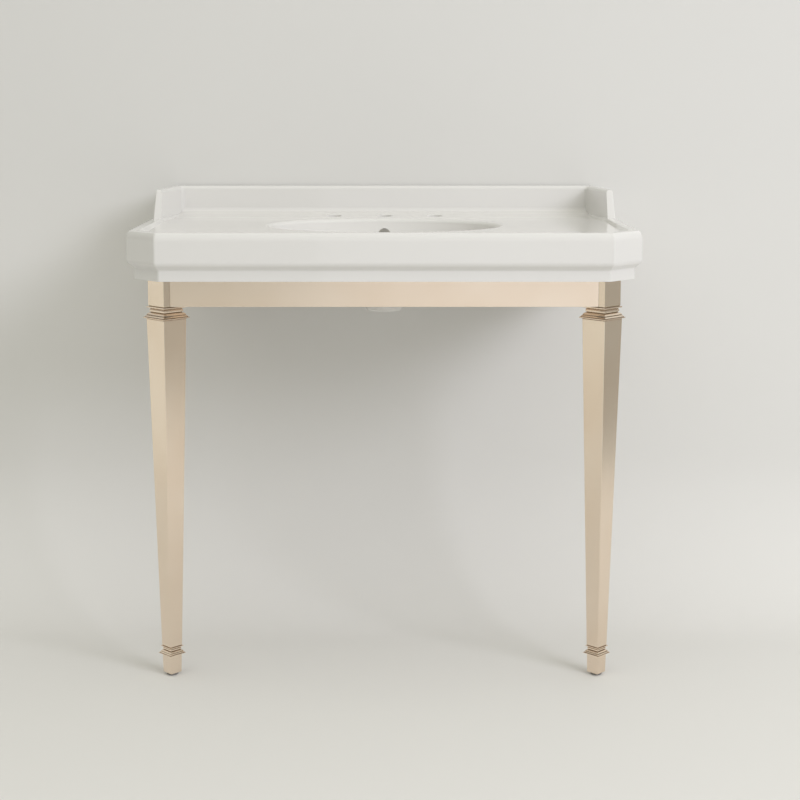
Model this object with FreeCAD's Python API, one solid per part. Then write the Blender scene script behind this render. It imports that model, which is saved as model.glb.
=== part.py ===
"""Console wash basin: a glazed fireclay top on a square-tube frame with two tapered legs.

Frame: X across the width, +Y towards the wall, +Z up; the origin is on the floor, in the
middle of the basin's width and depth. All lengths are in millimetres.
"""
import FreeCAD, Part
import math
import os

from FreeCAD import Vector

# ---- driving dimensions: ceramic top ----
BASIN_WIDTH = 914.0          # over the two straight sides
BASIN_DEPTH = 548.0          # from the fascia to the wall
RIM_HEIGHT = 815.0           # floor to the top of the raised rim
FASCIA_HEIGHT = 86.0         # rim down to the underside
CORNER_CUT = 57.0            # front corners, cut at 45 degrees
SIDE_RUN = 355.0             # fascia to where the sides start to converge
REAR_TAPER = 24.0            # each side moves in by this at the wall
LOWER_BAND_HEIGHT = 17.5     # set-back band along the bottom of the fascia
COVE_HEIGHT = 18.0           # hollow moulding above the band
COVE_DEPTH = 12.0            # how far the band is set back
RIM_ROUND_HEIGHT = 16.0      # soft outer edge of the rim
RIM_ROUND_DEPTH = 7.5
RIM_EDGE_RADIUS = 4.0        # tighter radius where the soft edge meets the rim
RIM_WIDTH = 22.0             # outer face to the inner edge of the rim
RIM_SLOPE_WIDTH = 9.0        # inner slope down to the deck
DECK_DROP = 7.0              # rim to deck at the front
DECK_TILT = 0.4              # degrees, rising towards the wall
DECK_SWEEP_START = 425.0     # fascia to where the deck starts to sweep up
DECK_SWEEP_RADIUS = 760.0
DECK_THICKNESS = 15.0
APRON_WALL = 15.0            # wall behind the lower band
BACK_WALL = 16.0             # wall against the building
RIB_THICKNESS = 16.0         # ribs under the deck that bear on the frame

# ---- driving dimensions: splashback and its returns ----
SPLASH_RISE = 55.0           # rim to the top of the splashback
SPLASH_STEP = 5.5            # outer face of the returns, in from the basin's side
SPLASH_LEAN = 4.0            # inner faces lean back by this
SPLASH_ROUND = 8.0           # rounded top front edge
SPLASH_COVE = 10.0           # hollow between the deck and the splashback
RETURN_RAKE = 25.0           # end faces of the returns lean back by this
RETURN_CORNER = 9.0          # rounded top corner of the returns

# ---- driving dimensions: bowl, holes and overflow ----
BOWL_LENGTH = 452.0          # oval opening, along X
BOWL_BREADTH = 328.0         # oval opening, along Y
BOWL_END_RADIUS = 140.0      # plan radius of the oval's two ends
BOWL_CENTRE = 262.0          # fascia to the middle of the oval
BOWL_DEPTH = 120.0           # deck to the flat bottom
BOWL_CORNER = 80.0           # radius between the wall and the bottom
BOWL_LIP = 9.0               # rounded edge of the opening
BOWL_WALL_LEAN = 14.0        # degrees from the vertical
BOWL_WALL = 13.0
DISH_RADIUS = 58.0           # shallow fall round the waste
DISH_DROP = 2.5
TAP_HOLE_DIAMETER = 30.0
TAP_HOLE_PITCH = 101.6       # centre to centre of neighbouring tap holes
TAP_HOLE_SETBACK = 78.0      # wall to the row of tap holes
WASTE_DIAMETER = 46.0
WASTE_SEAT_DIAMETER = 66.0
WASTE_SEAT_DEPTH = 3.0
WASTE_BOSS_DIAMETER = 70.0
WASTE_BOSS_DROP = 26.0       # boss below the bowl's bottom wall
OVERFLOW_DIAMETER = 23.0
OVERFLOW_DROP = 34.0         # deck to the middle of the overflow hole
OVERFLOW_PASSAGE = 9.0       # clear depth of the passage behind the bowl
OVERFLOW_HEADROOM = 3.5      # passage above the hole
OVERFLOW_WIDTH = 30.0
OVERFLOW_WALL = 7.0
WALL_HOLE_DIAMETER = 14.0
WALL_HOLE_PITCH = 280.0
WALL_HOLE_DROP = 40.0        # rim to the wall fixing holes

# ---- driving dimensions: frame ----
RAIL_SIZE = 46.0             # square tube
RAIL_WALL = 2.0
PAD_THICKNESS = 2.0          # soft pad between rail and ceramic
PAD_LENGTH = 40.0
PAD_WIDTH = 14.0
LEG_INSET = 68.5             # side of the basin to the leg's axis
LEG_SETBACK = 64.0           # fascia to the leg's axis
SPIGOT_REACH = 78.0          # leg's axis to the end of a block's spigot
SPIGOT_CLEARANCE = 0.2
JOINT_GAP = 0.1              # between faces that butt
FLANGE_WIDTH = 92.0
FLANGE_THICKNESS = 5.0
FLANGE_SPIGOT = 36.0
FLANGE_HOLE_DIAMETER = 5.5
FLANGE_HOLE_PITCH = 70.0
GRUB_DIAMETER = 6.0
GRUB_LENGTH = 12.0
GRUB_SETBACK = 16.0          # from a spigot's free end

# ---- driving dimensions: legs ----
CAPITAL_HEIGHT = 23.8
CAPITAL_TOP = 46.6           # square fillet under the block
CAPITAL_NECK = 39.0
CAPITAL_STEP = 49.0
CAPITAL_LEDGE = 59.0
SHAFT_TOP = 50.5
SHAFT_BOTTOM = 26.0
SHAFT_WALL = 3.2
SHAFT_END_WALL = 16.0
COLLAR_HEIGHT = 16.3
COLLAR_TOP = 29.0
COLLAR_NECK = 23.6
COLLAR_STEP = 28.4
COLLAR_LEDGE = 35.4
FOOT_HEIGHT = 35.0
FOOT_TOP = 24.6
FOOT_BOTTOM = 23.4
FOOT_CHAMFER = 1.0
GLIDE_GAP = 3.5              # floor to the underside of the foot
GLIDE_DIAMETER = 20.0
GLIDE_SOCKET_FLOOR = 1.2
LEVELLER_DIAMETER = 8.0
LEVELLER_ENGAGEMENT = 16.0   # stem inside the foot, screwed fully in
LEG_STUD_DIAMETER = 12.0
LEG_STUD_IN_BLOCK = 28.0
FOOT_STUD_DIAMETER = 8.0
FOOT_STUD_IN_FOOT = 11.0
STUD_CLEARANCE = 0.15        # radial, round every stud and stem
RUNNING_GAP = 0.2            # between faces that move past each other

# ---- derived places ----
FAR = 2000.0
HALF_WIDTH = BASIN_WIDTH / 2
FRONT_Y = -BASIN_DEPTH / 2
WALL_Y = BASIN_DEPTH / 2
UNDERSIDE_Z = RIM_HEIGHT - FASCIA_HEIGHT
SPLASH_TOP_Z = RIM_HEIGHT + SPLASH_RISE
DECK_FRONT_Y = FRONT_Y + RIM_WIDTH + RIM_SLOPE_WIDTH
DECK_BACK_Y = WALL_Y - RIM_WIDTH
DECK_FRONT_Z = RIM_HEIGHT - DECK_DROP
DECK_SWEEP_Y = FRONT_Y + DECK_SWEEP_START
BOWL_Y = FRONT_Y + BOWL_CENTRE
TAP_Y = WALL_Y - TAP_HOLE_SETBACK
RAIL_TOP_Z = UNDERSIDE_Z - PAD_THICKNESS
RAIL_BOTTOM_Z = RAIL_TOP_Z - RAIL_SIZE
LEG_X = HALF_WIDTH - LEG_INSET
LEG_Y = FRONT_Y + LEG_SETBACK
SHAFT_TOP_Z = RAIL_BOTTOM_Z - CAPITAL_HEIGHT
FOOT_TOP_Z = GLIDE_GAP + FOOT_HEIGHT
SHAFT_BOTTOM_Z = FOOT_TOP_Z + COLLAR_HEIGHT
SPIGOT_SIZE = RAIL_SIZE - 2 * RAIL_WALL - 2 * SPIGOT_CLEARANCE
FLANGE_FACE_Y = WALL_Y - FLANGE_THICKNESS
RAIL_END_Y = FLANGE_FACE_Y - JOINT_GAP
STUD_TIP_GAP = 2.0           # a stud stops this far short of its hole's end
SIDES = {"left": -1.0, "right": 1.0}


def deck_z(y):
    """Height of the deck at the distance y: a slight slope, then a sweep up to the splashback."""
    tilt = math.radians(DECK_TILT)
    if y <= DECK_SWEEP_Y:
        return DECK_FRONT_Z + (y - DECK_FRONT_Y) * math.tan(tilt)
    centre_y = DECK_SWEEP_Y - DECK_SWEEP_RADIUS * math.sin(tilt)
    centre_z = deck_z(DECK_SWEEP_Y) + DECK_SWEEP_RADIUS * math.cos(tilt)
    return centre_z - math.sqrt(DECK_SWEEP_RADIUS ** 2 - (y - centre_y) ** 2)


# ---- small helpers ----
def box(x0, y0, z0, x1, y1, z1):
    return Part.makeBox(x1 - x0, y1 - y0, z1 - z0, Vector(x0, y0, z0))


def face(points):
    return Part.Face(Part.makePolygon(points + [points[0]]))


def cylinder(radius, z0, z1, x=0.0, y=0.0):
    return Part.makeCylinder(radius, z1 - z0, Vector(x, y, z0))


def fuse_all(shapes):
    return shapes[0].multiFuse(shapes[1:]).removeSplitter()


def common_all(shapes):
    result = shapes[0]
    for shape in shapes[1:]:
        result = result.common(shape)
    return result


def line(a, b):
    """Straight edge in the XZ plane."""
    return Part.LineSegment(Vector(a[0], 0, a[1]), Vector(b[0], 0, b[1])).toShape()


def arc(centre, radius, start, end):
    """Arc in the XZ plane about a centre, between two angles in degrees."""
    points = []
    for angle in (start, (start + end) / 2, end):
        turn = math.radians(angle)
        points.append(Vector(centre[0] + radius * math.cos(turn), 0,
                             centre[1] + radius * math.sin(turn)))
    return Part.Arc(*points).toShape()


def face_of(edges):
    return Part.Face(Part.Wire(Part.__sortEdges__(edges)))


# ---- plan of the ceramic top ----
def plan_corners():
    """Corners of the top seen from above, anticlockwise from the front left."""
    rear = HALF_WIDTH - REAR_TAPER
    front = HALF_WIDTH - CORNER_CUT
    right = [(front, FRONT_Y), (HALF_WIDTH, FRONT_Y + CORNER_CUT),
             (HALF_WIDTH, FRONT_Y + SIDE_RUN), (rear, WALL_Y)]
    left = [(-x, y) for x, y in reversed(right)]
    return right + left


def plan_edges():
    """Every side of the plan as (middle, inward direction, is_back)."""
    corners = plan_corners()
    edges = []
    for index, start in enumerate(corners):
        end = corners[(index + 1) % len(corners)]
        along = Vector(end[0] - start[0], end[1] - start[1], 0).normalize()
        middle = Vector((start[0] + end[0]) / 2, (start[1] + end[1]) / 2, 0)
        is_back = abs(start[1] - WALL_Y) < 1e-6 and abs(end[1] - WALL_Y) < 1e-6
        edges.append((middle, Vector(-along.y, along.x, 0), is_back))
    return edges


def along_edge(profile, middle, inward):
    """A profile drawn as (distance inwards, height), run along one side of the plan."""
    prism = profile.extrude(Vector(0, 2 * FAR, 0))
    prism.translate(Vector(0, -FAR, 0))
    prism.rotate(Vector(), Vector(0, 0, 1), math.degrees(math.atan2(inward.y, inward.x)))
    prism.translate(middle)
    return prism


def plan_prism(inset, z0, z1, back_inset=0.0):
    """The plan, moved in by inset (by back_inset at the wall), between two heights."""
    prisms = []
    for middle, inward, is_back in plan_edges():
        start = back_inset if is_back else inset
        profile = face([Vector(start, 0, z0), Vector(FAR, 0, z0), Vector(FAR, 0, z1),
                        Vector(start, 0, z1)])
        prisms.append(along_edge(profile, middle, inward))
    return common_all(prisms)


def fascia_profile():
    """Band, cove, flat fascia and soft rim edge, as seen in a cut through the apron."""
    band_top = UNDERSIDE_Z + LOWER_BAND_HEIGHT
    cove_top = band_top + COVE_HEIGHT
    round_start = RIM_HEIGHT - RIM_ROUND_HEIGHT
    cove_middle = Vector(COVE_DEPTH * 0.72, 0, band_top + COVE_HEIGHT * 0.58)
    cove = Part.Arc(Vector(COVE_DEPTH, 0, band_top), cove_middle, Vector(0, 0, cove_top))
    turn = 2 * math.atan2(RIM_ROUND_DEPTH - RIM_EDGE_RADIUS, RIM_ROUND_HEIGHT - RIM_EDGE_RADIUS)
    soft_radius = (RIM_ROUND_HEIGHT - RIM_EDGE_RADIUS) / math.sin(turn) + RIM_EDGE_RADIUS
    soft_end = 180 - math.degrees(turn)
    edge_centre = (RIM_ROUND_DEPTH, RIM_HEIGHT - RIM_EDGE_RADIUS)
    edges = [line((FAR, UNDERSIDE_Z), (COVE_DEPTH, UNDERSIDE_Z)),
             line((COVE_DEPTH, UNDERSIDE_Z), (COVE_DEPTH, band_top)),
             cove.toShape(),
             line((0, cove_top), (0, round_start)),
             arc((soft_radius, round_start), soft_radius, 180, soft_end),
             arc(edge_centre, RIM_EDGE_RADIUS, soft_end, 90),
             line((RIM_ROUND_DEPTH, RIM_HEIGHT), (FAR, RIM_HEIGHT)),
             line((FAR, RIM_HEIGHT), (FAR, UNDERSIDE_Z))]
    return face_of(edges)


def moulded_block():
    """Solid block with the fascia moulding mitred round every side but the wall side."""
    moulding = fascia_profile()
    plain = face([Vector(0, 0, UNDERSIDE_Z), Vector(FAR, 0, UNDERSIDE_Z),
                  Vector(FAR, 0, RIM_HEIGHT), Vector(0, 0, RIM_HEIGHT)])
    prisms = [along_edge(plain if is_back else moulding, middle, inward)
              for middle, inward, is_back in plan_edges()]
    return common_all(prisms)


def splash_block():
    """Solid block of the splashback and its two returns, before it is hollowed out."""
    base_z = RIM_HEIGHT - RIM_ROUND_HEIGHT
    block = plan_prism(SPLASH_STEP, base_z, SPLASH_TOP_Z)
    start = FRONT_Y + SIDE_RUN
    lean = RETURN_RAKE / SPLASH_RISE
    points = [Vector(-FAR, start - RIM_ROUND_HEIGHT * lean, base_z),
              Vector(-FAR, start + RETURN_RAKE, SPLASH_TOP_Z),
              Vector(-FAR, WALL_Y, SPLASH_TOP_Z),
              Vector(-FAR, WALL_Y, base_z)]
    keep = face(points).extrude(Vector(2 * FAR, 0, 0))
    corner = [edge for edge in keep.Edges
              if all(abs(v.Z - SPLASH_TOP_Z) < 1e-6 and v.Y < start + RETURN_RAKE + 1e-6
                     for v in edge.Vertexes)]
    keep = keep.makeFillet(RETURN_CORNER, corner)
    return block.common(keep)


def deck_side(drop, far_z):
    """Everything between far_z and the deck's surface, lowered by drop."""
    def point(y):
        return Vector(-FAR, y, deck_z(y) - drop)
    front, start, end = point(-FAR), point(DECK_SWEEP_Y), point(WALL_Y)
    back = Vector(-FAR, FAR, end.z)
    edges = [Part.LineSegment(front, start).toShape(),
             Part.Arc(start, point((DECK_SWEEP_Y + WALL_Y) / 2), end).toShape(),
             Part.LineSegment(end, back).toShape(),
             Part.LineSegment(back, Vector(-FAR, FAR, far_z)).toShape(),
             Part.LineSegment(Vector(-FAR, FAR, far_z), Vector(-FAR, -FAR, far_z)).toShape(),
             Part.LineSegment(Vector(-FAR, -FAR, far_z), front).toShape()]
    return face_of(edges).extrude(Vector(2 * FAR, 0, 0))


def splash_cove():
    """Hollow fillet between the deck and the foot of the splashback, along its whole length."""
    foot_z = deck_z(DECK_BACK_Y)
    front_y = DECK_BACK_Y - SPLASH_COVE
    lean = SPLASH_LEAN * SPLASH_COVE / SPLASH_RISE
    low = foot_z - SPLASH_COVE
    start = Vector(-FAR, front_y, deck_z(front_y))
    end = Vector(-FAR, DECK_BACK_Y + lean, foot_z + SPLASH_COVE)
    middle = Vector(-FAR, DECK_BACK_Y - SPLASH_COVE * 0.27, foot_z + SPLASH_COVE * 0.25)
    corner = Vector(-FAR, WALL_Y, end.z)
    edges = [Part.Arc(start, middle, end).toShape(),
             Part.LineSegment(end, corner).toShape(),
             Part.LineSegment(corner, Vector(-FAR, WALL_Y, low)).toShape(),
             Part.LineSegment(Vector(-FAR, WALL_Y, low), Vector(-FAR, front_y, low)).toShape(),
             Part.LineSegment(Vector(-FAR, front_y, low), start).toShape()]
    return face_of(edges).extrude(Vector(2 * FAR, 0, 0))


def basin_tray():
    """The space above the deck, inside the rim and the splashback."""
    foot = RIM_WIDTH + RIM_SLOPE_WIDTH
    round_start = SPLASH_TOP_Z - SPLASH_ROUND
    wall_top = RIM_WIDTH - SPLASH_LEAN
    low = DECK_FRONT_Z - DECK_DROP
    top = SPLASH_TOP_Z + SPLASH_ROUND
    edges = [line((FAR, low), (foot + RIM_SLOPE_WIDTH, low)),
             line((foot + RIM_SLOPE_WIDTH, low), (RIM_WIDTH, RIM_HEIGHT)),
             line((RIM_WIDTH, RIM_HEIGHT), (wall_top, round_start)),
             arc((wall_top - SPLASH_ROUND, round_start), SPLASH_ROUND, 0, 90),
             line((wall_top - SPLASH_ROUND, SPLASH_TOP_Z), (wall_top - SPLASH_ROUND, top)),
             line((wall_top - SPLASH_ROUND, top), (FAR, top)),
             line((FAR, top), (FAR, low))]
    profile = face_of(edges)
    prisms = [along_edge(profile, middle, inward) for middle, inward, _ in plan_edges()]
    return common_all(prisms).common(deck_side(0, FAR)).cut(splash_cove())


# ---- bowl ----
def oval_arcs():
    """The oval's four arcs as (centre, radius, start angle, sweep), anticlockwise."""
    half_length, half_breadth = BOWL_LENGTH / 2, BOWL_BREADTH / 2
    end_x = half_length - BOWL_END_RADIUS
    side_radius = (end_x ** 2 + half_breadth ** 2 - BOWL_END_RADIUS ** 2) / (
        2 * (half_breadth - BOWL_END_RADIUS))
    side_y = side_radius - half_breadth
    join = math.degrees(math.atan2(side_y, end_x))
    return [(Vector(end_x, 0, 0), BOWL_END_RADIUS, -join, 2 * join),
            (Vector(0, -side_y, 0), side_radius, join, 180 - 2 * join),
            (Vector(-end_x, 0, 0), BOWL_END_RADIUS, 180 - join, 2 * join),
            (Vector(0, side_y, 0), side_radius, 180 + join, 180 - 2 * join)]


def oval_face(offset, z):
    """The oval, grown by offset, as a flat face at the height z."""
    edges = []
    for centre, radius, start, sweep in oval_arcs():
        circle = Part.Circle(centre + Vector(0, 0, z), Vector(0, 0, 1), radius + offset)
        edges.append(Part.ArcOfCircle(circle, math.radians(start),
                                      math.radians(start + sweep)).toShape())
    return Part.Face(Part.Wire(edges))


def oval_solid(edges, reach, low, high):
    """A section, drawn as (distance outwards, height), run round the oval and filled in."""
    closing = [line((reach, high), (reach, low))]
    section = face_of(edges + closing)
    pieces = [oval_face(reach, low).extrude(Vector(0, 0, high - low))]
    for centre, radius, start, sweep in oval_arcs():
        piece = section.copy()
        piece.translate(Vector(radius, 0, 0))
        piece.rotate(Vector(), Vector(0, 0, 1), start)
        piece.translate(centre)
        pieces.append(piece.revolve(centre, Vector(0, 0, 1), sweep))
    solid = fuse_all(pieces)
    solid.rotate(Vector(), Vector(1, 0, 0), DECK_TILT)
    solid.translate(Vector(0, BOWL_Y, deck_z(BOWL_Y)))
    return solid


def bowl_section(grow):
    """Flat bottom, corner and wall: the edges, the corner's foot and the wall's top."""
    lean = math.radians(BOWL_WALL_LEAN)
    corner = BOWL_CORNER + grow
    wall = grow / math.cos(lean) - BOWL_LIP
    bottom = -BOWL_DEPTH - grow
    centre_z = bottom + corner
    centre = (wall - (-BOWL_LIP - centre_z) * math.tan(lean) - corner / math.cos(lean), centre_z)
    side = (centre[0] + corner * math.cos(lean), centre_z - corner * math.sin(lean))
    edges = [arc(centre, corner, -90, -BOWL_WALL_LEAN), line(side, (wall, -BOWL_LIP))]
    return edges, (centre[0], bottom), (wall, -BOWL_LIP)


def bowl_cavity():
    """The space inside the bowl, with the rounded lip and the dish round the waste."""
    edges, foot, wall = bowl_section(0.0)
    lip_turn = 80
    edge = (wall[0] + BOWL_LIP * (1 - math.cos(math.radians(lip_turn))),
            wall[1] + BOWL_LIP * math.sin(math.radians(lip_turn)))
    edges += [arc((wall[0] + BOWL_LIP, wall[1]), BOWL_LIP, 180, 180 - lip_turn),
              line(edge, (edge[0], SPLASH_RISE)),
              line((edge[0], SPLASH_RISE), (foot[0], SPLASH_RISE))]
    return oval_solid(edges, foot[0], foot[1], SPLASH_RISE).fuse(waste_dish())


def waste_dish():
    dish = Part.makeCone(WASTE_SEAT_DIAMETER / 2, DISH_RADIUS, DISH_DROP)
    dish.translate(Vector(0, 0, -BOWL_DEPTH - DISH_DROP))
    dish.rotate(Vector(), Vector(1, 0, 0), DECK_TILT)
    dish.translate(Vector(0, BOWL_Y, deck_z(BOWL_Y)))
    return dish


def bowl_skin(grow):
    """A solid of the bowl's shape, larger all round by grow, ending inside the deck."""
    edges, foot, wall = bowl_section(grow)
    edges.append(line(wall, (foot[0], wall[1])))
    return oval_solid(edges, foot[0], foot[1], wall[1])


def bowl_bottom_z():
    """Height of the inside of the bowl beside the waste hole."""
    return deck_z(BOWL_Y) - BOWL_DEPTH - DISH_DROP


def overflow_duct():
    """Rib behind the bowl that hides the overflow passage."""
    half = OVERFLOW_WIDTH / 2 + OVERFLOW_WALL
    keep = box(-half, BOWL_Y, 0, half, WALL_Y, RIM_HEIGHT)
    return bowl_skin(BOWL_WALL + OVERFLOW_PASSAGE + OVERFLOW_WALL).common(keep)


def overflow_passage():
    """The way for water from the overflow hole down to the waste hole."""
    half = OVERFLOW_WIDTH / 2
    hole_z = deck_z(BOWL_Y) - OVERFLOW_DROP
    top = hole_z + OVERFLOW_DIAMETER / 2 + OVERFLOW_HEADROOM
    keep = box(-half, BOWL_Y, 0, half, WALL_Y, top)
    gap = bowl_skin(BOWL_WALL + OVERFLOW_PASSAGE).cut(bowl_skin(BOWL_WALL))
    reach = BOWL_BREADTH / 2 + BOWL_WALL + OVERFLOW_PASSAGE / 2
    hole = Part.makeCylinder(OVERFLOW_DIAMETER / 2, reach, Vector(0, BOWL_Y, hole_z),
                             Vector(0, 1, 0))
    return gap.common(keep).fuse(hole)


def waste_boss():
    bottom = bowl_bottom_z() - BOWL_WALL - WASTE_BOSS_DROP
    return cylinder(WASTE_BOSS_DIAMETER / 2, bottom, bowl_bottom_z(), 0, BOWL_Y)


def waste_hole():
    """The hole for the waste, with a flat seat for its flange."""
    seat_z = bowl_bottom_z() - WASTE_SEAT_DEPTH
    seat = cylinder(WASTE_SEAT_DIAMETER / 2, seat_z, seat_z + 2 * WASTE_SEAT_DEPTH, 0, BOWL_Y)
    hole = cylinder(WASTE_DIAMETER / 2, UNDERSIDE_Z - FAR, RIM_HEIGHT, 0, BOWL_Y)
    return hole.fuse(seat)


def tap_holes():
    holes = []
    for step in (-1, 0, 1):
        x = step * TAP_HOLE_PITCH
        holes.append(cylinder(TAP_HOLE_DIAMETER / 2, UNDERSIDE_Z, RIM_HEIGHT + SPLASH_RISE, x, TAP_Y))
    return holes


def wall_holes():
    z = RIM_HEIGHT - WALL_HOLE_DROP
    holes = []
    for side in SIDES.values():
        start = Vector(side * WALL_HOLE_PITCH / 2, WALL_Y - 2 * BACK_WALL, z)
        holes.append(Part.makeCylinder(WALL_HOLE_DIAMETER / 2, 3 * BACK_WALL, start,
                                       Vector(0, 1, 0)))
    return holes


def underside_ribs():
    """Webs under the deck that rest on the pads of the front and side rails."""
    half = RIB_THICKNESS / 2
    ribs = [box(-FAR, LEG_Y - half, UNDERSIDE_Z, FAR, LEG_Y + half, RIM_HEIGHT)]
    for side in SIDES.values():
        x = side * LEG_X
        ribs.append(box(x - half, LEG_Y, UNDERSIDE_Z, x + half, WALL_Y, RIM_HEIGHT))
    return ribs


def underside_space():
    """The hollow under the deck, between the apron walls, ribs and bowl."""
    space = plan_prism(COVE_DEPTH + APRON_WALL, UNDERSIDE_Z - BACK_WALL, RIM_HEIGHT, BACK_WALL)
    space = space.common(deck_side(DECK_THICKNESS, 0))
    return space.cut(fuse_all(underside_ribs()))


def console_basin():
    under_parts = [bowl_skin(BOWL_WALL), overflow_duct(), waste_boss()]
    body = moulded_block().fuse(splash_block()).cut(underside_space())
    body = body.multiFuse(under_parts)
    for cutter in [basin_tray(), bowl_cavity(), overflow_passage(), waste_hole()]:
        body = body.cut(cutter)
    for cutter in tap_holes() + wall_holes():
        body = body.cut(cutter)
    return body.removeSplitter()


# ---- metal frame ----
def square_bar(size, z0, z1, x=0.0, y=0.0):
    half = size / 2
    return box(x - half, y - half, z0, x + half, y + half, z1)


def cornerwise(shape):
    """Turn a shape on the leg's axis so that an edge faces the front."""
    shape.rotate(Vector(), Vector(0, 0, 1), 45)
    return shape


def at_leg(shape, side):
    """Move a shape made on the axis of a leg to the left or right leg."""
    shape = shape.copy()
    if side < 0:
        shape = shape.mirror(Vector(), Vector(1, 0, 0))
    shape.translate(Vector(side * LEG_X, LEG_Y, 0))
    return shape


def corner_block():
    """Block of the right leg: spigots towards -X for the front rail and +Y for the side rail."""
    block = cornerwise(square_bar(RAIL_SIZE, RAIL_BOTTOM_Z, RAIL_TOP_Z))
    half = SPIGOT_SIZE / 2
    low = RAIL_BOTTOM_Z + RAIL_WALL + SPIGOT_CLEARANCE
    high = RAIL_TOP_Z - RAIL_WALL - SPIGOT_CLEARANCE
    front = box(-SPIGOT_REACH, -half, low, 0, half, high)
    side = box(-half, 0, low, half, SPIGOT_REACH, high)
    block = fuse_all([block, front, side])
    hole = cylinder(LEG_STUD_DIAMETER / 2 + STUD_CLEARANCE, RAIL_BOTTOM_Z,
                    RAIL_BOTTOM_Z + LEG_STUD_IN_BLOCK + STUD_TIP_GAP)
    block = block.cut(hole)
    screw_at = SPIGOT_REACH - GRUB_SETBACK
    for x, y in [(-screw_at, 0), (0, screw_at)]:
        block = block.cut(grub_hole(x, y))
    return block


def grub_hole(x, y):
    return cylinder(GRUB_DIAMETER / 2 + STUD_CLEARANCE, RAIL_BOTTOM_Z,
                    RAIL_BOTTOM_Z + GRUB_LENGTH + STUD_TIP_GAP, x, y)


def rail_mitre(flip):
    """What is cut off a rail's end at a leg's axis: the block and the other rail's share."""
    notch = cornerwise(square_bar(RAIL_SIZE + 2 * JOINT_GAP, RAIL_BOTTOM_Z - 1, RAIL_TOP_Z + 1))
    shift = JOINT_GAP / math.sqrt(2)
    reach = 2 * RAIL_SIZE
    points = [Vector(0, -shift, 0), Vector(-reach, reach - shift, 0), Vector(reach, reach, 0),
              Vector(reach, -shift, 0)]
    if flip:
        points = [Vector(-p.y, -p.x, 0) for p in points]
    wedge = face([p + Vector(0, 0, RAIL_BOTTOM_Z - 1) for p in points])
    wedge = wedge.extrude(Vector(0, 0, RAIL_SIZE + 2))
    past = box(0, -reach, RAIL_BOTTOM_Z - 1, reach, reach, RAIL_TOP_Z + 1)
    if flip:
        past = box(-reach, -reach, RAIL_BOTTOM_Z - 1, reach, 0, RAIL_TOP_Z + 1)
    return fuse_all([notch, wedge, past])


def tube(length_axis, start, end):
    """Square tube along X or Y, centred on the other axis."""
    outer, inner = RAIL_SIZE / 2, RAIL_SIZE / 2 - RAIL_WALL
    low, high = RAIL_BOTTOM_Z, RAIL_TOP_Z
    if length_axis == "x":
        shell = box(start, -outer, low, end, outer, high)
        return shell.cut(box(start, -inner, low + RAIL_WALL, end, inner, high - RAIL_WALL))
    shell = box(-outer, start, low, outer, end, high)
    return shell.cut(box(-inner, start, low + RAIL_WALL, inner, end, high - RAIL_WALL))


def front_rail():
    rail = tube("x", -LEG_X, LEG_X)
    rail.translate(Vector(0, LEG_Y, 0))
    for side in SIDES.values():
        rail = rail.cut(at_leg(rail_mitre(False), side))
        x = side * (LEG_X - SPIGOT_REACH + GRUB_SETBACK)
        rail = rail.cut(grub_hole(x, LEG_Y))
    return rail


def side_rail():
    rail = tube("y", 0, RAIL_END_Y - LEG_Y)
    rail = rail.cut(rail_mitre(True))
    front_screw = SPIGOT_REACH - GRUB_SETBACK
    back_screw = RAIL_END_Y - LEG_Y - FLANGE_SPIGOT + GRUB_SETBACK
    for y in (front_screw, back_screw):
        rail = rail.cut(grub_hole(0, y))
    return rail


def wall_flange():
    """Plate on the wall with a spigot into the side rail, made on the leg's axis."""
    face_y = FLANGE_FACE_Y - LEG_Y
    plate = box(-FLANGE_WIDTH / 2, face_y, RAIL_BOTTOM_Z, FLANGE_WIDTH / 2,
                face_y + FLANGE_THICKNESS, RAIL_TOP_Z)
    half = SPIGOT_SIZE / 2
    middle = RAIL_BOTTOM_Z + RAIL_SIZE / 2
    spigot = box(-half, face_y - FLANGE_SPIGOT, middle - half, half, face_y, middle + half)
    flange = plate.fuse(spigot).removeSplitter()
    flange = flange.cut(grub_hole(0, RAIL_END_Y - LEG_Y - FLANGE_SPIGOT + GRUB_SETBACK))
    for x in (-FLANGE_HOLE_PITCH / 2, FLANGE_HOLE_PITCH / 2):
        flange = flange.cut(Part.makeCylinder(FLANGE_HOLE_DIAMETER / 2, 2 * FLANGE_THICKNESS,
                                              Vector(x, face_y - 1, middle), Vector(0, 1, 0)))
    return flange


def rail_grub_screws():
    """Six set screws, flush with the underside of the rails."""
    screws = []
    front_screw = SPIGOT_REACH - GRUB_SETBACK
    back_screw = RAIL_END_Y - LEG_Y - FLANGE_SPIGOT + GRUB_SETBACK
    for side in SIDES.values():
        for x, y in [(-front_screw, 0), (0, front_screw), (0, back_screw)]:
            screw = cylinder(GRUB_DIAMETER / 2, RAIL_BOTTOM_Z, RAIL_BOTTOM_Z + GRUB_LENGTH, x, y)
            screws.append(at_leg(screw, side))
    return Part.makeCompound(screws)


def bearing_pads():
    """Soft pads on the rails, under the ribs of the ceramic."""
    pads = []
    span = LEG_X - SPIGOT_REACH
    for x in (-span, 0, span):
        pads.append(box(x - PAD_LENGTH / 2, LEG_Y - PAD_WIDTH / 2, RAIL_TOP_Z,
                        x + PAD_LENGTH / 2, LEG_Y + PAD_WIDTH / 2, UNDERSIDE_Z))
    back = RAIL_END_Y - FLANGE_SPIGOT
    front = LEG_Y + SPIGOT_REACH
    for side in SIDES.values():
        for y in (front, back):
            x = side * LEG_X
            pads.append(box(x - PAD_WIDTH / 2, y - PAD_LENGTH / 2, RAIL_TOP_Z,
                            x + PAD_WIDTH / 2, y + PAD_LENGTH / 2, UNDERSIDE_Z))
    return Part.makeCompound(pads)


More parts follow.
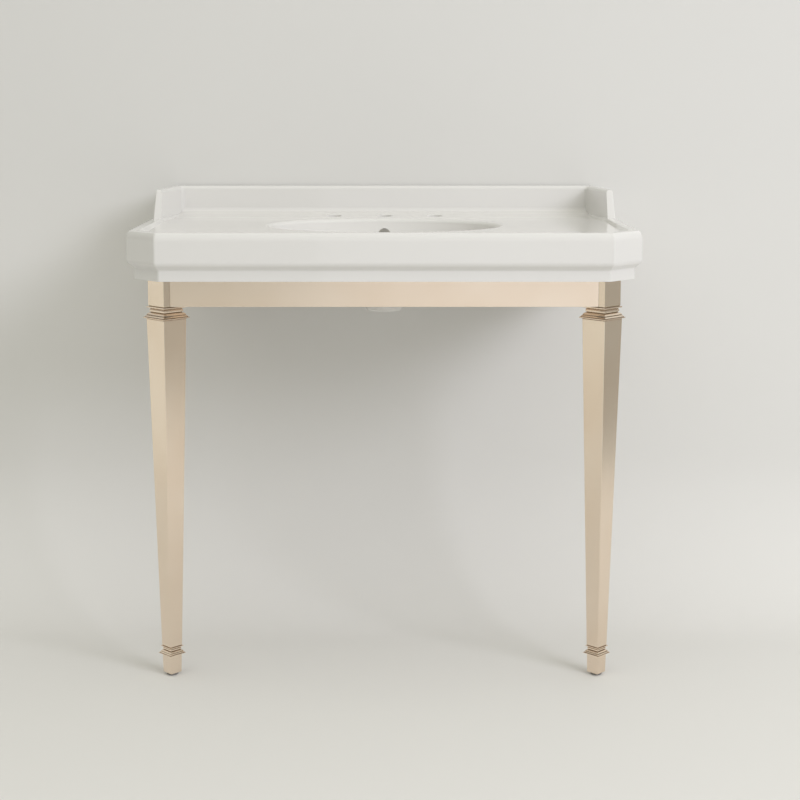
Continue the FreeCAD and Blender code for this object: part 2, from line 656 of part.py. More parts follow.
# ---- legs, made on the leg's axis ----
def crossed(profile):
    """A four-sided solid with the same profile seen from the front and from the side."""
    solid = profile.extrude(Vector(0, 2 * FAR, 0))
    solid.translate(Vector(0, -FAR, 0))
    other = solid.copy()
    other.rotate(Vector(), Vector(0, 0, 1), 90)
    return solid.common(other)


def mirrored_face(right_edges):
    """Close a right-hand profile with its mirror image across Z."""
    left_edges = [edge.mirror(Vector(), Vector(1, 0, 0)) for edge in right_edges]
    first = right_edges[0].Vertexes[0].Point
    last = right_edges[-1].Vertexes[-1].Point
    ends = [line((-first.x, first.z), (first.x, first.z)),
            line((-last.x, last.z), (last.x, last.z))]
    return face_of(right_edges + left_edges + ends)


def moulding_profile(z_ends, fillet, neck, step, ledge, shaft):
    """Stepped moulding from the fillet end to the shaft end, as right-hand edges.

    z_ends are the heights of the fillet end and the shaft end; the sizes are half widths.
    """
    start, end = z_ends
    span = end - start

    def level(share):
        return start + span * share

    def bulge(a, b, depth):
        """Arc from a to b that swells out, or hollows in where depth is negative."""
        middle = ((a[0] + b[0]) / 2 + depth, (a[1] + b[1]) / 2)
        return Part.Arc(Vector(a[0], 0, a[1]), Vector(middle[0], 0, middle[1]),
                        Vector(b[0], 0, b[1])).toShape()

    drop = abs(span)
    points = [(fillet, level(0.00)), (fillet, level(0.10)), (neck, level(0.22)),
              (neck, level(0.34)), (step, level(0.48)), (step, level(0.57)),
              (ledge, level(0.78)), (ledge, level(0.87)), (shaft, level(1.00))]
    return [line(points[0], points[1]),
            bulge(points[1], points[2], -drop * 0.03),
            line(points[2], points[3]),
            bulge(points[3], points[4], -drop * 0.05),
            line(points[4], points[5]),
            bulge(points[5], points[6], -drop * 0.06),
            line(points[6], points[7]),
            bulge(points[7], points[8], drop * 0.03)]


def capital():
    edges = moulding_profile((RAIL_BOTTOM_Z, SHAFT_TOP_Z), CAPITAL_TOP / 2, CAPITAL_NECK / 2,
                             CAPITAL_STEP / 2, CAPITAL_LEDGE / 2, SHAFT_TOP / 2)
    body = cornerwise(crossed(mirrored_face(edges)))
    return body.cut(cylinder(LEG_STUD_DIAMETER / 2 + STUD_CLEARANCE, SHAFT_TOP_Z, RAIL_BOTTOM_Z))


def base_collar():
    edges = moulding_profile((SHAFT_BOTTOM_Z, FOOT_TOP_Z), COLLAR_TOP / 2, COLLAR_NECK / 2,
                             COLLAR_STEP / 2, COLLAR_LEDGE / 2, FOOT_TOP / 2)
    body = cornerwise(crossed(mirrored_face(edges)))
    return body.cut(cylinder(FOOT_STUD_DIAMETER / 2 + STUD_CLEARANCE, FOOT_TOP_Z, SHAFT_BOTTOM_Z))


def tapered_bar(bottom, z0, top, z1):
    return crossed(face([Vector(-bottom / 2, 0, z0), Vector(bottom / 2, 0, z0),
                         Vector(top / 2, 0, z1), Vector(-top / 2, 0, z1)]))


def shaft_size(z):
    share = (z - SHAFT_BOTTOM_Z) / (SHAFT_TOP_Z - SHAFT_BOTTOM_Z)
    return SHAFT_BOTTOM + (SHAFT_TOP - SHAFT_BOTTOM) * share


def leg_shaft():
    outer = tapered_bar(SHAFT_BOTTOM, SHAFT_BOTTOM_Z, SHAFT_TOP, SHAFT_TOP_Z)
    low, high = SHAFT_BOTTOM_Z + SHAFT_END_WALL, SHAFT_TOP_Z - SHAFT_END_WALL
    inner = tapered_bar(shaft_size(low) - 2 * SHAFT_WALL, low,
                        shaft_size(high) - 2 * SHAFT_WALL, high)
    shaft = cornerwise(outer.cut(inner))
    top = cylinder(LEG_STUD_DIAMETER / 2 + STUD_CLEARANCE, high, SHAFT_TOP_Z)
    bottom = cylinder(FOOT_STUD_DIAMETER / 2 + STUD_CLEARANCE, SHAFT_BOTTOM_Z, low)
    return shaft.cut(top).cut(bottom)


def leg_stud():
    low = SHAFT_TOP_Z - SHAFT_END_WALL + STUD_TIP_GAP
    return cylinder(LEG_STUD_DIAMETER / 2, low, RAIL_BOTTOM_Z + LEG_STUD_IN_BLOCK)


def foot_stud():
    high = SHAFT_BOTTOM_Z + SHAFT_END_WALL - STUD_TIP_GAP
    return cylinder(FOOT_STUD_DIAMETER / 2, FOOT_TOP_Z - FOOT_STUD_IN_FOOT, high)


def foot_block():
    block = tapered_bar(FOOT_BOTTOM, GLIDE_GAP, FOOT_TOP, FOOT_TOP_Z)
    edges = [e for e in block.Edges if all(abs(v.Z - GLIDE_GAP) < 1e-6 for v in e.Vertexes)]
    block = cornerwise(block.makeChamfer(FOOT_CHAMFER, edges))
    stem = cylinder(LEVELLER_DIAMETER / 2 + STUD_CLEARANCE, GLIDE_GAP,
                    GLIDE_GAP + LEVELLER_ENGAGEMENT + STUD_TIP_GAP)
    stud = cylinder(FOOT_STUD_DIAMETER / 2 + STUD_CLEARANCE,
                    FOOT_TOP_Z - FOOT_STUD_IN_FOOT - STUD_TIP_GAP / 2, FOOT_TOP_Z)
    return block.cut(stem).cut(stud)


def glide_pad():
    top = GLIDE_GAP - RUNNING_GAP
    pad = cylinder(GLIDE_DIAMETER / 2, 0, top)
    return pad.cut(cylinder(LEVELLER_DIAMETER / 2 + STUD_CLEARANCE, GLIDE_SOCKET_FLOOR, top))


def leveller_stem():
    low = GLIDE_SOCKET_FLOOR + RUNNING_GAP
    return cylinder(LEVELLER_DIAMETER / 2, low, GLIDE_GAP + LEVELLER_ENGAGEMENT)


def build():
    """Every node by name, in its place."""
    nodes = {"console_basin": console_basin(), "front_rail": front_rail(),
             "rail_grub_screws": rail_grub_screws(), "bearing_pads": bearing_pads()}
    leg_pieces = {"side_rail": side_rail(), "corner_block": corner_block(),
                  "wall_flange": wall_flange(), "capital": capital(), "leg_shaft": leg_shaft(),
                  "base_collar": base_collar(), "foot_block": foot_block(),
                  "leg_stud": leg_stud(), "foot_stud": foot_stud(), "glide_pad": glide_pad(),
                  "leveller_stem": leveller_stem()}
    for hand, side in SIDES.items():
        for name, shape in leg_pieces.items():
            nodes[f"{hand}_{name}"] = at_leg(shape, side)
    return nodes


def main():
    os.makedirs("parts", exist_ok=True)
    for name, shape in build().items():
        shape.exportStep(f"parts/{name}.step")
        box_size = shape.BoundBox
        print(f"{name}: {len(shape.Solids)} solid(s), valid {shape.isValid()}, "
              f"{shape.Volume / 1000:.1f} cm3, z {box_size.ZMin:.1f} to {box_size.ZMax:.1f}")


main()
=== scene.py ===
"""Dressed model of a console sink: a glazed top on a satin brass frame with two tapered legs.

Lengths are in metres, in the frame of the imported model: X across, +Y to the wall, +Z up.
"""
import math

import bmesh
import bpy
from bpy.props import FloatProperty, FloatVectorProperty, IntProperty, PointerProperty
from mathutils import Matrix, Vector


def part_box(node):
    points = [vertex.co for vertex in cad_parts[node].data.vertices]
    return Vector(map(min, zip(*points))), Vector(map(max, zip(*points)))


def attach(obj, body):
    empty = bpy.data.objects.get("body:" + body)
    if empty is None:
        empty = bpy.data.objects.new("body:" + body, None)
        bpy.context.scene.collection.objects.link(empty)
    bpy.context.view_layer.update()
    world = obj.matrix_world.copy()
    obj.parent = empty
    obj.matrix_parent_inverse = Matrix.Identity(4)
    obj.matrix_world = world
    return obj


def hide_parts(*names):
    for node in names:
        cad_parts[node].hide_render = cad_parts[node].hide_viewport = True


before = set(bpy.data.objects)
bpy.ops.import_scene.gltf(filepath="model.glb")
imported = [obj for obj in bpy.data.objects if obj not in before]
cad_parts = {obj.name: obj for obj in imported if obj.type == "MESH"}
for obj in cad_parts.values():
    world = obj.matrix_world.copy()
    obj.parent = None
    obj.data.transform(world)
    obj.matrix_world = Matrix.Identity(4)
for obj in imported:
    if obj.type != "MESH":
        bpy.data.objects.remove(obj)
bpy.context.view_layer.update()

bl_info = {
    "name": "Console Sink",
    "version": (1, 0, 0),
    "blender": (4, 5, 0),
    "location": "View3D > Sidebar > Console Sink",
    "description": "Glazed top, brass frame, legs and studio for a console sink",
    "category": "Object",
}

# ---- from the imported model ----
TOP_LOW, TOP_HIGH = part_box("console_basin")
RAIL_LOW, RAIL_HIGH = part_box("front_rail")
HALF_WIDTH = TOP_HIGH.x
FRONT_Y = TOP_LOW.y
WALL_Y = TOP_HIGH.y
LEG_AXIS = sum(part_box("right_leg_shaft"), Vector()) / 2
RAIL_SIZE = RAIL_HIGH.z - RAIL_LOW.z
SIDES = {"left": -1.0, "right": 1.0}

# ---- fixed values of the pieces ----
MM = 0.001
BEYOND = 60 * MM         # how far a shape runs past a face that cuts it, and a hole's cutter
FAR = 1.0                # past every side of the top
TINY = 0.01 * MM         # heights closer than this are the same
MERGE = 0.005 * MM       # points closer than this become one
CROSSWISE = (math.radians(90), 0, 0)     # turns a hole to run from front to back
DECK_TILT = 0.4          # degrees, rising towards the wall
COVE_TURN = 50.0         # degrees that the hollow leans in from the fascia
FOOT_HOLLOW = 1.02       # the cutter of the foot's hollow, over the cove, to pass the splashback
BOWL_WALL_LEAN = 14.0    # degrees from the vertical
DISH_DROP = 2.5 * MM     # fall of the dish round the waste
DISH_EDGE = 0.3 * MM     # depth of the dish at its rim
DISH_FADE = (8 * MM, 3 * MM)             # from its rim to the flat bottom, across and forwards
SEAT_DEPTH = 3.0 * MM    # of the waste's seat, below the dish
SEAT_EDGE = 0.6 * MM     # chamfer round the waste's seat
NOTCH_BEYOND = 10 * MM   # how far a notch's cutter passes the rail, up and down
BOSS_EDGE = 2 * MM       # chamfer under the boss
BOSS_FLARE = 4 * MM      # where the boss widens into the bowl
MOULDING_EDGE = 0.35 * MM
FINE_ANGLE = 25          # degrees, from which the edges of mouldings and feet are rounded
GLIDE_EDGE = 0.8 * MM    # chamfer under the glide
GLIDE_STEP = 0.5 * MM    # chamfer on top of it
# The moulding of capital and collar from its lip down to the shaft: how far each ring reaches
# from the neck's width (0) to the ledge's (1), and its share of the height.
MOULDING = [(0.21, 0.0), (0.21, 0.045), (0.53, 0.052), (0.53, 0.13), (0.47, 0.155), (0.30, 0.175),
            (0.13, 0.205), (0.04, 0.245), (0.03, 0.27), (0.10, 0.285), (0.145, 0.32), (0.16, 0.37),
            (0.145, 0.42), (0.10, 0.46), (-0.03, 0.47), (-0.03, 0.515), (0.20, 0.53),
            (0.31, 0.56), (0.42, 0.60), (0.50, 0.64), (0.54, 0.68), (0.46, 0.69), (0.46, 0.715),
            (0.62, 0.722), (0.66, 0.76), (0.74, 0.80), (0.84, 0.825), (0.78, 0.835), (0.78, 0.858),
            (1.0, 0.866), (1.0, 0.925)]

# ---- fixed values of the studio ----
BACKDROP_WIDTH = 3.8
BACKDROP_FRONT = -5.1
BACKDROP_HEIGHT = 4.0
BACKDROP_BEND = 0.3      # radius between floor and wall
WALL_GAP = 3 * MM        # between the top's back and the wall
FLOOR_GAP = 0.5 * MM     # between the glides and the floor
OPENING_EDGE = 12 * MM   # how far the top hides the opening's edge
PICTURE_WIDTH = 800      # pixels
LENS_REACH = 1586        # distance of the picture plane, in pixels
SENSOR_WIDTH = 36.0      # millimetres
CAMERA_SHIFT = (0.0196, -0.12)
CAMERA_PITCH = 7.19      # degrees, looking down
CAMERA_HEIGHT = 1.037
CAMERA_BACK = 2.739      # from the fascia
WARM_LIGHT = (1.0, 0.99, 0.90)
COOL_LIGHT = (0.91, 0.91, 1.0)
# World light along each axis: the two directions between which it changes, its strength at each.
WORLD_LIGHT = [("X", -1.0, 1.0, 0.28, 0.40), ("Y", -0.1, -0.9, 0.0, 0.14),
               ("Z", 0.2, 1.0, 0.0, 0.80)]
# Lamps: place, target, size, power in watts, tint, and the rays that don't see them.
LAMPS = {
    "key": ((3.8, -3.8, 3.0), (0.0, 0.1, 0.6), (2.4, 1.8), 115, COOL_LIGHT, "visible_glossy"),
    "gloss_strip": ((2.6, -2.4, 3.4), (0.0, 0.0, 0.8), (1.0, 0.9), 7.7, COOL_LIGHT, None),
    "front_card": ((1.3, -4.4, 1.0), (0.0, 0.0, 0.6), (3.4, 2.4), 11, COOL_LIGHT, None),
    "left_card": ((-2.0, -0.45, 0.25), (0.0, -0.25, 0.5), (1.5, 1.2), 2.8, WARM_LIGHT,
                  "visible_diffuse"),
}

MATERIALS = {}           # by short name, filled before the pieces are made


# ---- settings ----
def length(name, millimetres, description):
    """A length setting, given in millimetres."""
    return FloatProperty(name=name, description=description, default=millimetres * MM,
                         subtype="DISTANCE", unit="LENGTH", precision=4)


def colour(name, value, description):
    """A colour setting."""
    return FloatVectorProperty(name=name, description=description, default=value, size=3,
                               min=0.0, max=1.0, subtype="COLOR")


class TopSizes(bpy.types.PropertyGroup):
    """Sizes of the glazed top."""

    rim_height: length("Rim height", 815, "Floor to the top of the rim")
    fascia_height: length("Fascia height", 86, "Rim to the underside")
    corner_cut: length("Corner cut", 57, "Length of the cut front corners along each side")
    side_run: length("Side run", 355, "Front to where the sides start to converge")
    rear_taper: length("Rear taper", 24, "How far each side moves in at the wall")
    band_height: length("Band height", 17.5, "Set-back band along the bottom of the fascia")
    cove_height: length("Cove height", 18, "Hollow moulding above the band")
    cove_depth: length("Cove depth", 12, "How far the band is set back")
    cove_turn: length("Cove turn", 12, "Radius from the fascia into the hollow moulding")
    cove_hollow: length("Cove hollow", 5, "Radius from the hollow moulding into the band")
    rim_round_height: length("Rim round height", 16, "Height of the rim's soft outer edge")
    rim_round_depth: length("Rim round depth", 7.5, "Depth of the rim's soft outer edge")
    rim_edge: length("Rim edge", 4, "Tighter radius at the top of the soft edge")
    rim_width: length("Rim width", 22, "Side of the top to the inner edge of the rim")
    rim_inner: length("Rim inner edge", 4, "Radius where the rim turns down to the deck")
    slope_width: length("Slope width", 9, "Slope from the rim down to the deck")
    deck_drop: length("Deck drop", 7, "Rim down to the deck at the front")
    sweep_start: length("Sweep start", 425, "Front to where the deck sweeps up")
    sweep_radius: length("Sweep radius", 760, "Radius of the deck's sweep")
    corner_softness: length("Corner softness", 2.6, "Rounding of the upright corners")
    tray_softness: length("Tray softness", 5.72, "Rounding of the corners inside the rim")
    deck_thickness: length("Deck thickness", 15, "Deck to the hollows under it")
    apron_wall: length("Apron wall", 15, "Wall behind the band")
    back_wall: length("Back wall", 16, "Wall against the building")
    rib_thickness: length("Rib thickness", 16, "Ribs that bear on the rails")


class SplashSizes(bpy.types.PropertyGroup):
    """Sizes of the splashback and its returns."""

    step: length("Step", 5.5, "Outer face of the returns, in from the side")
    lean: length("Lean", 4, "How far the inner faces lean back")
    top_round: length("Top round", 8, "Radius of the top front edge")
    cove: length("Cove", 10, "Hollow between the deck and the splashback")
    rake: length("Rake", 25, "How far the ends of the returns lean back")
    end_round: length("End round", 5.8, "Rounding of the top corner of the returns")
    softness: length("Softness", 2.2, "Rounding of the outer edges")


class BowlSizes(bpy.types.PropertyGroup):
    """Sizes of the bowl and of every hole in the top."""

    length: length("Length", 452, "Oval opening from left to right")
    breadth: length("Breadth", 328, "Oval opening from front to back")
    centre: length("Centre", 262, "Front to the middle of the oval")
    depth: length("Depth", 120, "Deck to the flat bottom")
    corner: length("Corner", 80, "Radius between wall and bottom")
    lip: length("Lip", 9, "Rounded edge of the opening")
    wall: length("Wall", 13, "Thickness of the bowl")
    tap_radius: length("Tap hole radius", 15, "Radius of the three tap holes")
    tap_pitch: length("Tap hole pitch", 101.6, "Between neighbouring tap holes")
    tap_setback: length("Tap hole setback", 78, "Wall to the row of tap holes")
    tap_edge: length("Tap hole edge", 1.5, "Rounding round the tap holes")
    waste_radius: length("Waste radius", 23, "Radius of the waste hole")
    seat_radius: length("Seat radius", 33, "Radius of the seat round the waste hole")
    dish_radius: length("Dish radius", 58, "Radius of the fall to the waste")
    boss_radius: length("Boss radius", 35, "Radius of the boss under the bowl")
    boss_drop: length("Boss drop", 26, "Length of the boss under the bowl")
    overflow_radius: length("Overflow radius", 12.2, "Radius of the overflow hole")
    overflow_drop: length("Overflow drop", 30.5, "Deck to the middle of the overflow hole")
    passage_depth: length("Passage depth", 9, "Clear depth of the overflow passage")
    passage_width: length("Passage width", 30, "Clear width of the overflow passage")
    passage_wall: length("Passage wall", 7, "Wall behind and beside the passage")
    passage_headroom: length("Passage headroom", 3.5, "Passage above the overflow hole")
    wall_hole_radius: length("Wall hole radius", 7, "Radius of the wall fixing holes")
    wall_hole_pitch: length("Wall hole pitch", 280, "Between the wall fixing holes")
    wall_hole_drop: length("Wall hole drop", 40, "Rim to the wall fixing holes")


class FrameSizes(bpy.types.PropertyGroup):
    """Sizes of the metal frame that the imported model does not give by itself."""

    edge: length("Edge", 0.7, "Rounding along the metal edges")
    gap: length("Gap", 0.1, "Between faces that butt")
    spigot_reach: length("Spigot reach", 78, "Leg's axis to the end of a spigot")
    spigot_size: length("Spigot size", 41.6, "Width of a spigot")
    flange_spigot: length("Flange spigot", 36, "Length of the flange's spigot")
    screw_radius: length("Screw hole radius", 2.75, "Holes of the wall flanges")
    screw_pitch: length("Screw hole pitch", 70, "Between the two holes of a flange")
    capital_neck: length("Capital neck", 40, "Narrowest width of the capital")
    capital_ledge: length("Capital ledge", 59, "Widest width of the capital")
    shaft_top: length("Shaft top", 50.5, "Width of the leg under its capital")
    shaft_bottom: length("Shaft bottom", 26, "Width of the leg above its collar")
    collar_neck: length("Collar neck", 22, "Narrowest width of the base collar")
    collar_ledge: length("Collar ledge", 35.4, "Widest width of the base collar")
    foot_top: length("Foot top", 24.6, "Width of the foot under its collar")
    foot_bottom: length("Foot bottom", 23.4, "Width of the foot near the floor")
    foot_chamfer: length("Foot chamfer", 1, "Chamfer round the bottom of the foot")
    stem_radius: length("Stem hole radius", 4.15, "Hole in the glide for its stem")
    socket_floor: length("Socket floor", 1.2, "Glide left under its stem")


class Finishes(bpy.types.PropertyGroup):
    """Colours of the materials and of the studio, and how fine the oval is."""

    glaze: colour("Glaze", (0.765, 0.755, 0.735), "Warm white glaze")
    brass: colour("Brass", (0.90, 0.775, 0.65), "Satin champagne brass")
    brass_dark: colour("Brass shade", (0.86, 0.72, 0.585), "Darker tone in the brass")
    # Painted shade: the dark colour that the mouldings' hollows are given where little light
    # reaches.
    brass_hollow_shade: colour("Brass in hollows", (0.26, 0.165, 0.085), "Tone inside the mouldings")
    steel: colour("Steel", (0.55, 0.55, 0.54), "Studs and screws")
    nylon: colour("Nylon", (0.20, 0.19, 0.18), "Glide pads")
    rubber: colour("Rubber", (0.05, 0.05, 0.05), "Bearing pads")
    wall: colour("Wall", (0.745, 0.74, 0.72), "Studio floor and wall")
    fineness: IntProperty(name="Oval points", description="Points round the bowl's oval",
                          default=112, min=32, max=256)


GROUPS = {"sink_top": TopSizes, "sink_splash": SplashSizes, "sink_bowl": BowlSizes,
          "sink_frame": FrameSizes, "sink_finish": Finishes}


def settings(name):
    """One of the scene's setting groups, by its short name."""
    return getattr(bpy.context.scene, "sink_" + name)


# ---- modelling steps ----
def select_nothing():
    """Go to object mode with nothing selected."""
    if bpy.context.object and bpy.context.object.mode != "OBJECT":
        bpy.ops.object.mode_set(mode="OBJECT")
    bpy.ops.object.select_all(action="DESELECT")


def only(piece):
    """Go to object mode with this piece as the only selected one."""
    select_nothing()
    piece.select_set(True)
    bpy.context.view_layer.objects.active = piece


def edit(piece):
    """Open one piece in edit mode with all of it selected."""
    only(piece)
    bpy.ops.object.mode_set(mode="EDIT")
    bpy.ops.mesh.select_mode(type="FACE")
    bpy.ops.mesh.select_all(action="SELECT")


def leave_edit():
    """Make the faces point outwards and go back to object mode."""
    bpy.ops.mesh.select_all(action="SELECT")
    bpy.ops.mesh.normals_make_consistent(inside=False)
    bpy.ops.object.mode_set(mode="OBJECT")


def place_piece(piece, place=(0, 0, 0), turn=(0, 0, 0), size=(1, 1, 1)):
    """Move, turn and size a piece, and put that into its mesh."""
    only(piece)
    piece.location = place
    piece.rotation_euler = turn
    piece.scale = size
    bpy.ops.object.transform_apply(location=True, rotation=True, scale=True)


def start(kind, name, place, turn=(0, 0, 0), size=(1, 1, 1), **options):
    """Add a plane, cube, circle or cylinder at its place, turn and size."""
    select_nothing()
    if kind in ("plane", "cube"):
        options["size"] = 1
    getattr(bpy.ops.mesh, f"primitive_{kind}_add")(**options)
    piece = bpy.context.object
    piece.name = piece.data.name = name
    place_piece(piece, place, turn, size)
    return piece


def solid_box(name, low, high):
    """A box between two corners."""
    low, high = Vector(low), Vector(high)
    return start("cube", name, place=(low + high) / 2, size=high - low)


def round_hole(name, place, radius, depth, turn=(0, 0, 0), points=48):
    """A cylinder to cut a round hole with."""
    return start("cylinder", name, place, turn, vertices=points, radius=radius, depth=depth)


def ring_stack(name, rings, centre=(0, 0), points=None):
    """A closed solid through oval rings, given from the bottom up as (half x, half y, z)."""
    across, deep, z = rings[0]
    stack = start("circle", name, place=(*centre, z), size=(across, deep, 1), radius=1,
                  vertices=points or settings("finish").fineness, fill_type="NGON")
    edit(stack)
    for (old_x, old_y, old_z), (new_x, new_y, new_z) in zip(rings, rings[1:]):
        pull((0, 0, new_z - old_z))
        bpy.ops.transform.resize(value=(new_x / old_x, new_y / old_y, 1),
                                 center_override=(*centre, new_z))
    leave_edit()
    return stack


def round_rings(rings):
    """Rings for a round stack, from (radius, z)."""
    return [(radius, radius, z) for radius, z in rings]


def square_stack(name, rings):
    """A square stack set cornerwise on the right leg's axis, from (width, z)."""
    corners = [(width / math.sqrt(2), z) for width, z in rings]
    return ring_stack(name, round_rings(corners), LEG_AXIS[:2], 4)


def pick(piece, kind, test):
    """In edit mode, select the faces or edges that pass a test."""
    bpy.ops.mesh.select_mode(type="FACE" if kind == "faces" else "EDGE")
    bpy.ops.mesh.select_all(action="DESELECT")
    shape = bmesh.from_edit_mesh(piece.data)
    shape.normal_update()
    chosen = [part for part in getattr(shape, kind) if test(part)]
    if not chosen:
        raise RuntimeError(f"{piece.name}: no {kind} found")
    for part in chosen:
        part.select_set(True)
    shape.select_flush_mode()
    bmesh.update_edit_mesh(piece.data)


def cap(piece, up):
    """Select the level face at the top or at the bottom of a piece."""
    sign = 1.0 if up else -1.0
    shape = bmesh.from_edit_mesh(piece.data)
    limit = max(sign * vertex.co.z for vertex in shape.verts) - TINY
    pick(piece, "faces", lambda face: all(sign * v.co.z > limit for v in face.verts))


def upright(edge):
    """Whether an edge joins two heights."""
    low, high = sorted(vertex.co.z for vertex in edge.verts)
    return high - low > TINY


def edge_middle(edge):
    """The point halfway along an edge."""
    return (edge.verts[0].co + edge.verts[1].co) / 2


def pull(offset):
    """Extrude what is selected by a vector."""
    bpy.ops.mesh.extrude_region_move(TRANSFORM_OT_translate={"value": offset})


def inset_along(profile, up):
    """Inset and raise the selected face along a profile of (inset, height) points."""
    for (inset, z), (next_inset, next_z) in zip(profile, profile[1:]):
        bpy.ops.mesh.inset(thickness=next_inset - inset, depth=up * (next_z - z))


def bevel(width, segments=3):
    """Round the selected edges."""
    bpy.ops.mesh.bevel(offset=width, offset_type="OFFSET", segments=segments, profile=0.5,
                       affect="EDGES", clamp_overlap=True)


def cut_away(point, outward, fill=True):
    """Remove what lies beyond a plane, and close the cut."""
    bpy.ops.mesh.select_all(action="SELECT")
    bpy.ops.mesh.bisect(plane_co=point, plane_no=outward, use_fill=fill, clear_outer=True)


def modify(piece, kind, **options):
    """Add a modifier with its options and apply it."""
    only(piece)
    step = piece.modifiers.new(kind.lower(), kind)
    for name, value in options.items():
        setattr(step, name, value)
    bpy.ops.object.modifier_apply(modifier=step.name)


def combine(piece, other, operation):
    """Union, difference or intersection with another closed piece, which is then removed."""
    modify(piece, "BOOLEAN", operation=operation, object=other, solver="EXACT")
    bpy.data.objects.remove(other, do_unlink=True)
    if not piece.data.polygons:
        raise RuntimeError(f"{piece.name}: nothing was left after a {operation.lower()}")


def merge_cuts(piece):
    """Merge the points that the cuts left double."""
    edit(piece)
    bpy.ops.mesh.remove_doubles(threshold=MERGE)
    leave_edit()


def soften(piece, width, segments=2, angle=30):
    """Round all edges sharper than an angle."""
    modify(piece, "BEVEL", width=width, segments=segments, limit_method="ANGLE",
           angle_limit=math.radians(angle))


def shade(piece, angle=30):
    """Smooth shading that keeps flat faces flat, led by the large faces."""
    only(piece)
    bpy.ops.object.shade_smooth_by_angle(angle=math.radians(angle))
    modify(piece, "WEIGHTED_NORMAL", keep_sharp=True, weight=60)


def mirrored(piece, name):
    """A copy of a right-hand piece for the left side, with its own mesh."""
    only(piece)
    bpy.ops.object.duplicate(linked=False)
    copy = bpy.context.object
    copy.name = copy.data.name = name
    place_piece(copy, size=(-1, 1, 1))
    edit(copy)
    leave_edit()
    return copy


def finish_piece(piece, body, slot, material, *nodes):
    """Give a finished piece its material and body, and hide the nodes that it stands for. The slot
    is not used.
    """
    piece.data.materials.clear()
    piece.data.materials.append(MATERIALS[material])
    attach(piece, body)
    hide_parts(*nodes)


def pair(right, name, material):
    """Finish a right-hand metal piece and its mirror image."""
    left = mirrored(right, right.name.replace("right", "left"))
    shade(left)
    for hand, piece in (("right", right), ("left", left)):
        finish_piece(piece, "console", "satin_brass", material, f"{hand}_{name}")


def spread(first, last, count):
    """Even steps from the first number to the last."""
    return [first + (last - first) * step / count for step in range(count + 1)]


def arc_points(centre, radius, first, last, count):
    """Points on an arc, as (across, up), from the first angle in degrees to the last."""
    angles = [math.radians(angle) for angle in spread(first, last, count)]
    return [(centre[0] + radius * math.cos(angle), centre[1] + radius * math.sin(angle))
            for angle in angles]


# ---- glazed top ----
def deck_z(y):
    """Height of the deck: a slight slope, then a sweep up to the splashback."""
    top = settings("top")
    tilt = math.radians(DECK_TILT)
    front_y = FRONT_Y + top.rim_width + top.slope_width
    front_z = top.rim_height - top.deck_drop
    sweep_y = FRONT_Y + top.sweep_start
    if y <= sweep_y:
        return front_z + (y - front_y) * math.tan(tilt)
    centre_y = sweep_y - top.sweep_radius * math.sin(tilt)
    centre_z = deck_z(sweep_y) + top.sweep_radius * math.cos(tilt)
    return centre_z - math.sqrt(top.sweep_radius ** 2 - (y - centre_y) ** 2)


def slanted_sides(inset):
    """The sides of the plan that are not square to the wall, as (point, outward)."""
    top = settings("top")
    corner = Vector((1, -1, 0)).normalized()
    taper = Vector((WALL_Y - FRONT_Y - top.side_run, top.rear_taper, 0)).normalized()
    planes = []
    for run, outward in ((top.corner_cut, corner), (top.side_run, taper)):
        point = Vector((HALF_WIDTH, FRONT_Y + run, 0)) - outward * inset
        for side in (Vector((1, 1, 1)), Vector((-1, 1, 1))):
            planes.append((point * side, outward * side))
    return planes


def plan_plate(name, inset, z, back_y):
    """A flat face with the plan of the top, moved in by an inset, open in edit mode."""
    front_y = FRONT_Y + inset
    plate = start("plane", name, place=(0, (front_y + back_y) / 2, z),
                  size=(2 * (HALF_WIDTH - inset), back_y - front_y, 1))
    edit(plate)
    for point, outward in slanted_sides(inset):
        cut_away(point, outward, fill=False)
    bpy.ops.mesh.select_all(action="SELECT")
    return plate


def moulded_block():
    """The slab of the top with the fascia moulding round its front and sides."""
    top = settings("top")
    cove_z = top.rim_height - top.fascia_height + top.band_height + top.cove_height
    round_z = top.rim_height - top.rim_round_height
    block = plan_plate("moulded_block", 0, cove_z, WALL_Y + BEYOND)
    pull((0, 0, round_z - cove_z))
    cap(block, up=True)
    inset_along(rim_round_profile(), up=1)
    cap(block, up=False)
    inset_along(cove_profile(), up=-1)
    pull((0, 0, -top.band_height))
    corners_y = FRONT_Y + top.side_run / 2
    pick(block, "edges", lambda edge: upright(edge) and edge_middle(edge).y < corners_y)
    bevel(top.corner_softness)
    cut_away((0, WALL_Y, 0), (0, 1, 0))
    leave_edit()
    return block


def rim_round_profile():
    """The rim's soft outer edge: a wide arc, then a tighter one, as (inset, height)."""
    top = settings("top")
    rise = top.rim_round_height - top.rim_edge
    turn = 2 * math.atan2(top.rim_round_depth - top.rim_edge, rise)
    radius = rise / math.sin(turn) + top.rim_edge
    end = 180 - math.degrees(turn)
    low = top.rim_height - top.rim_round_height
    wide = arc_points((radius, low), radius, 180, end, 6)
    tight = arc_points((top.rim_round_depth, top.rim_height - top.rim_edge), top.rim_edge,
                       end, 90, 6)
    return wide + tight[1:]


def cove_profile():
    """From the fascia down to the band: a soft turn inwards, then a tight hollow."""
    top = settings("top")
    band_z = top.rim_height - top.fascia_height + top.band_height
    turn = arc_points((top.cove_turn, band_z + top.cove_height), top.cove_turn,
                      180, 180 + COVE_TURN, 7)
    hollow = arc_points((top.cove_depth - top.cove_hollow, band_z), top.cove_hollow,
                        COVE_TURN, 0, 5)
    return turn + hollow


